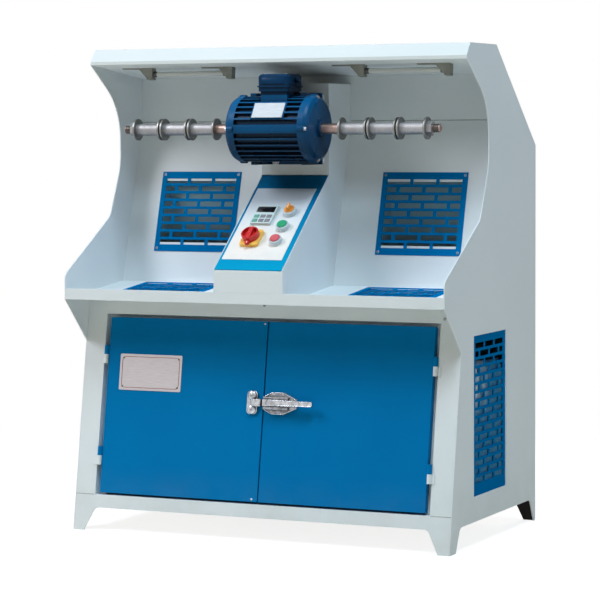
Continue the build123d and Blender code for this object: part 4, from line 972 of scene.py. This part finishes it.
# Stage: pale floor that keeps the shadow, in front of a white world
stage = Nodes("stage_floor")
stage.tree.nodes.remove(stage.bsdf)
path = stage.new("ShaderNodeLightPath")
seen = stage.maths("MAXIMUM", path.outputs["Is Camera Ray"], path.outputs["Is Glossy Ray"])
seen = stage.maths("MAXIMUM", seen, path.outputs["Is Transmission Ray"])
bounce = stage.new("ShaderNodeBsdfDiffuse")
bounce.inputs["Color"].default_value = (0.82, 0.755, 0.62, 1)
shadow = stage.new("ShaderNodeBsdfDiffuse")
shadow.inputs["Color"].default_value = (0.42, 0.42, 0.42, 1)
paper = stage.new("ShaderNodeEmission")
paper.inputs["Strength"].default_value = 0.83
both = stage.new("ShaderNodeAddShader")
stage.join(shadow.outputs[0], both.inputs[0])
stage.join(paper.outputs[0], both.inputs[1])
plain = stage.new("ShaderNodeEmission")
plain.inputs["Strength"].default_value = 1.0
reach = stage.new("ShaderNodeVectorMath", operation="LENGTH")
stage.join(stage.new("ShaderNodeTexCoord").outputs["Object"], reach.inputs[0])
fade = stage.new("ShaderNodeMixShader")
stage.join(stage.ramp(reach.outputs["Value"], 1.1, 2.6), fade.inputs[0])
stage.join(both.outputs[0], fade.inputs[1])
stage.join(plain.outputs[0], fade.inputs[2])
pick = stage.new("ShaderNodeMixShader")
stage.join(seen, pick.inputs[0])
stage.join(bounce.outputs[0], pick.inputs[1])
stage.join(fade.outputs[0], pick.inputs[2])
stage.join(pick.outputs[0], stage.out.inputs["Surface"])
floor_mesh = bpy.data.meshes.new("floor")
floor_mesh.from_pydata([(-30, -30, 0), (30, -30, 0), (30, 30, 0), (-30, 30, 0)], [], [(0, 1, 2, 3)])
floor = bpy.data.objects.new("floor", floor_mesh)
scene.collection.objects.link(floor)
floor.data.materials.append(stage.mat)

world = bpy.data.worlds.new("studio")
scene.world = world
world.use_nodes = True
sky = world.node_tree
sky.nodes.clear()
sky_out = sky.nodes.new("ShaderNodeOutputWorld")
soft = sky.nodes.new("ShaderNodeBackground")
soft.inputs["Color"].default_value = (1.0, 0.98, 0.87, 1)
soft.inputs["Strength"].default_value = 0.13
paper = sky.nodes.new("ShaderNodeBackground")
paper.inputs["Color"].default_value = (1, 1, 1, 1)
paper.inputs["Strength"].default_value = 1.0
path = sky.nodes.new("ShaderNodeLightPath")
seen = path.outputs["Is Camera Ray"]
for kind in ("Is Glossy Ray", "Is Transmission Ray"):
    either = sky.nodes.new("ShaderNodeMath")
    either.operation = "MAXIMUM"
    sky.links.new(seen, either.inputs[0])
    sky.links.new(path.outputs[kind], either.inputs[1])
    seen = either.outputs[0]
pick = sky.nodes.new("ShaderNodeMixShader")
sky.links.new(seen, pick.inputs[0])
sky.links.new(soft.outputs[0], pick.inputs[1])
sky.links.new(paper.outputs[0], pick.inputs[2])
sky.links.new(pick.outputs[0], sky_out.inputs[0])


LAMP_AIM, LAMP_REACH, LAMP_SIZE = Vector((0, -0.1, 0.75)), 5, 2.0


def soft_lamp(name, azimuth, elevation, power, colour):
    """A round soft lamp aimed at the machine; azimuth 0 is in front, positive to the right."""
    az, el = radians(azimuth), radians(elevation)
    towards = Vector((sin(az) * cos(el), -cos(az) * cos(el), sin(el)))
    data = bpy.data.lights.new(name, "AREA")
    data.shape = "DISK"
    data.size = LAMP_SIZE
    data.energy = power
    data.color = colour
    lamp = bpy.data.objects.new(name, data)
    scene.collection.objects.link(lamp)
    lamp.location = LAMP_AIM + towards * LAMP_REACH
    lamp.rotation_mode = "QUATERNION"
    lamp.rotation_quaternion = (-towards).to_track_quat("-Z", "Y")


soft_lamp("left_lamp", -50, 40, 131, (0.90, 0.92, 1.0))
soft_lamp("right_lamp", 34, 63, 160, (0.70, 0.88, 1.0))
soft_lamp("side_lamp", 90, 25, 29, (0.42, 0.66, 1.0))
soft_lamp("rear_lamp", 180, 14, 85, (1.0, 0.98, 0.95))
scene.view_settings.view_transform = "Standard"
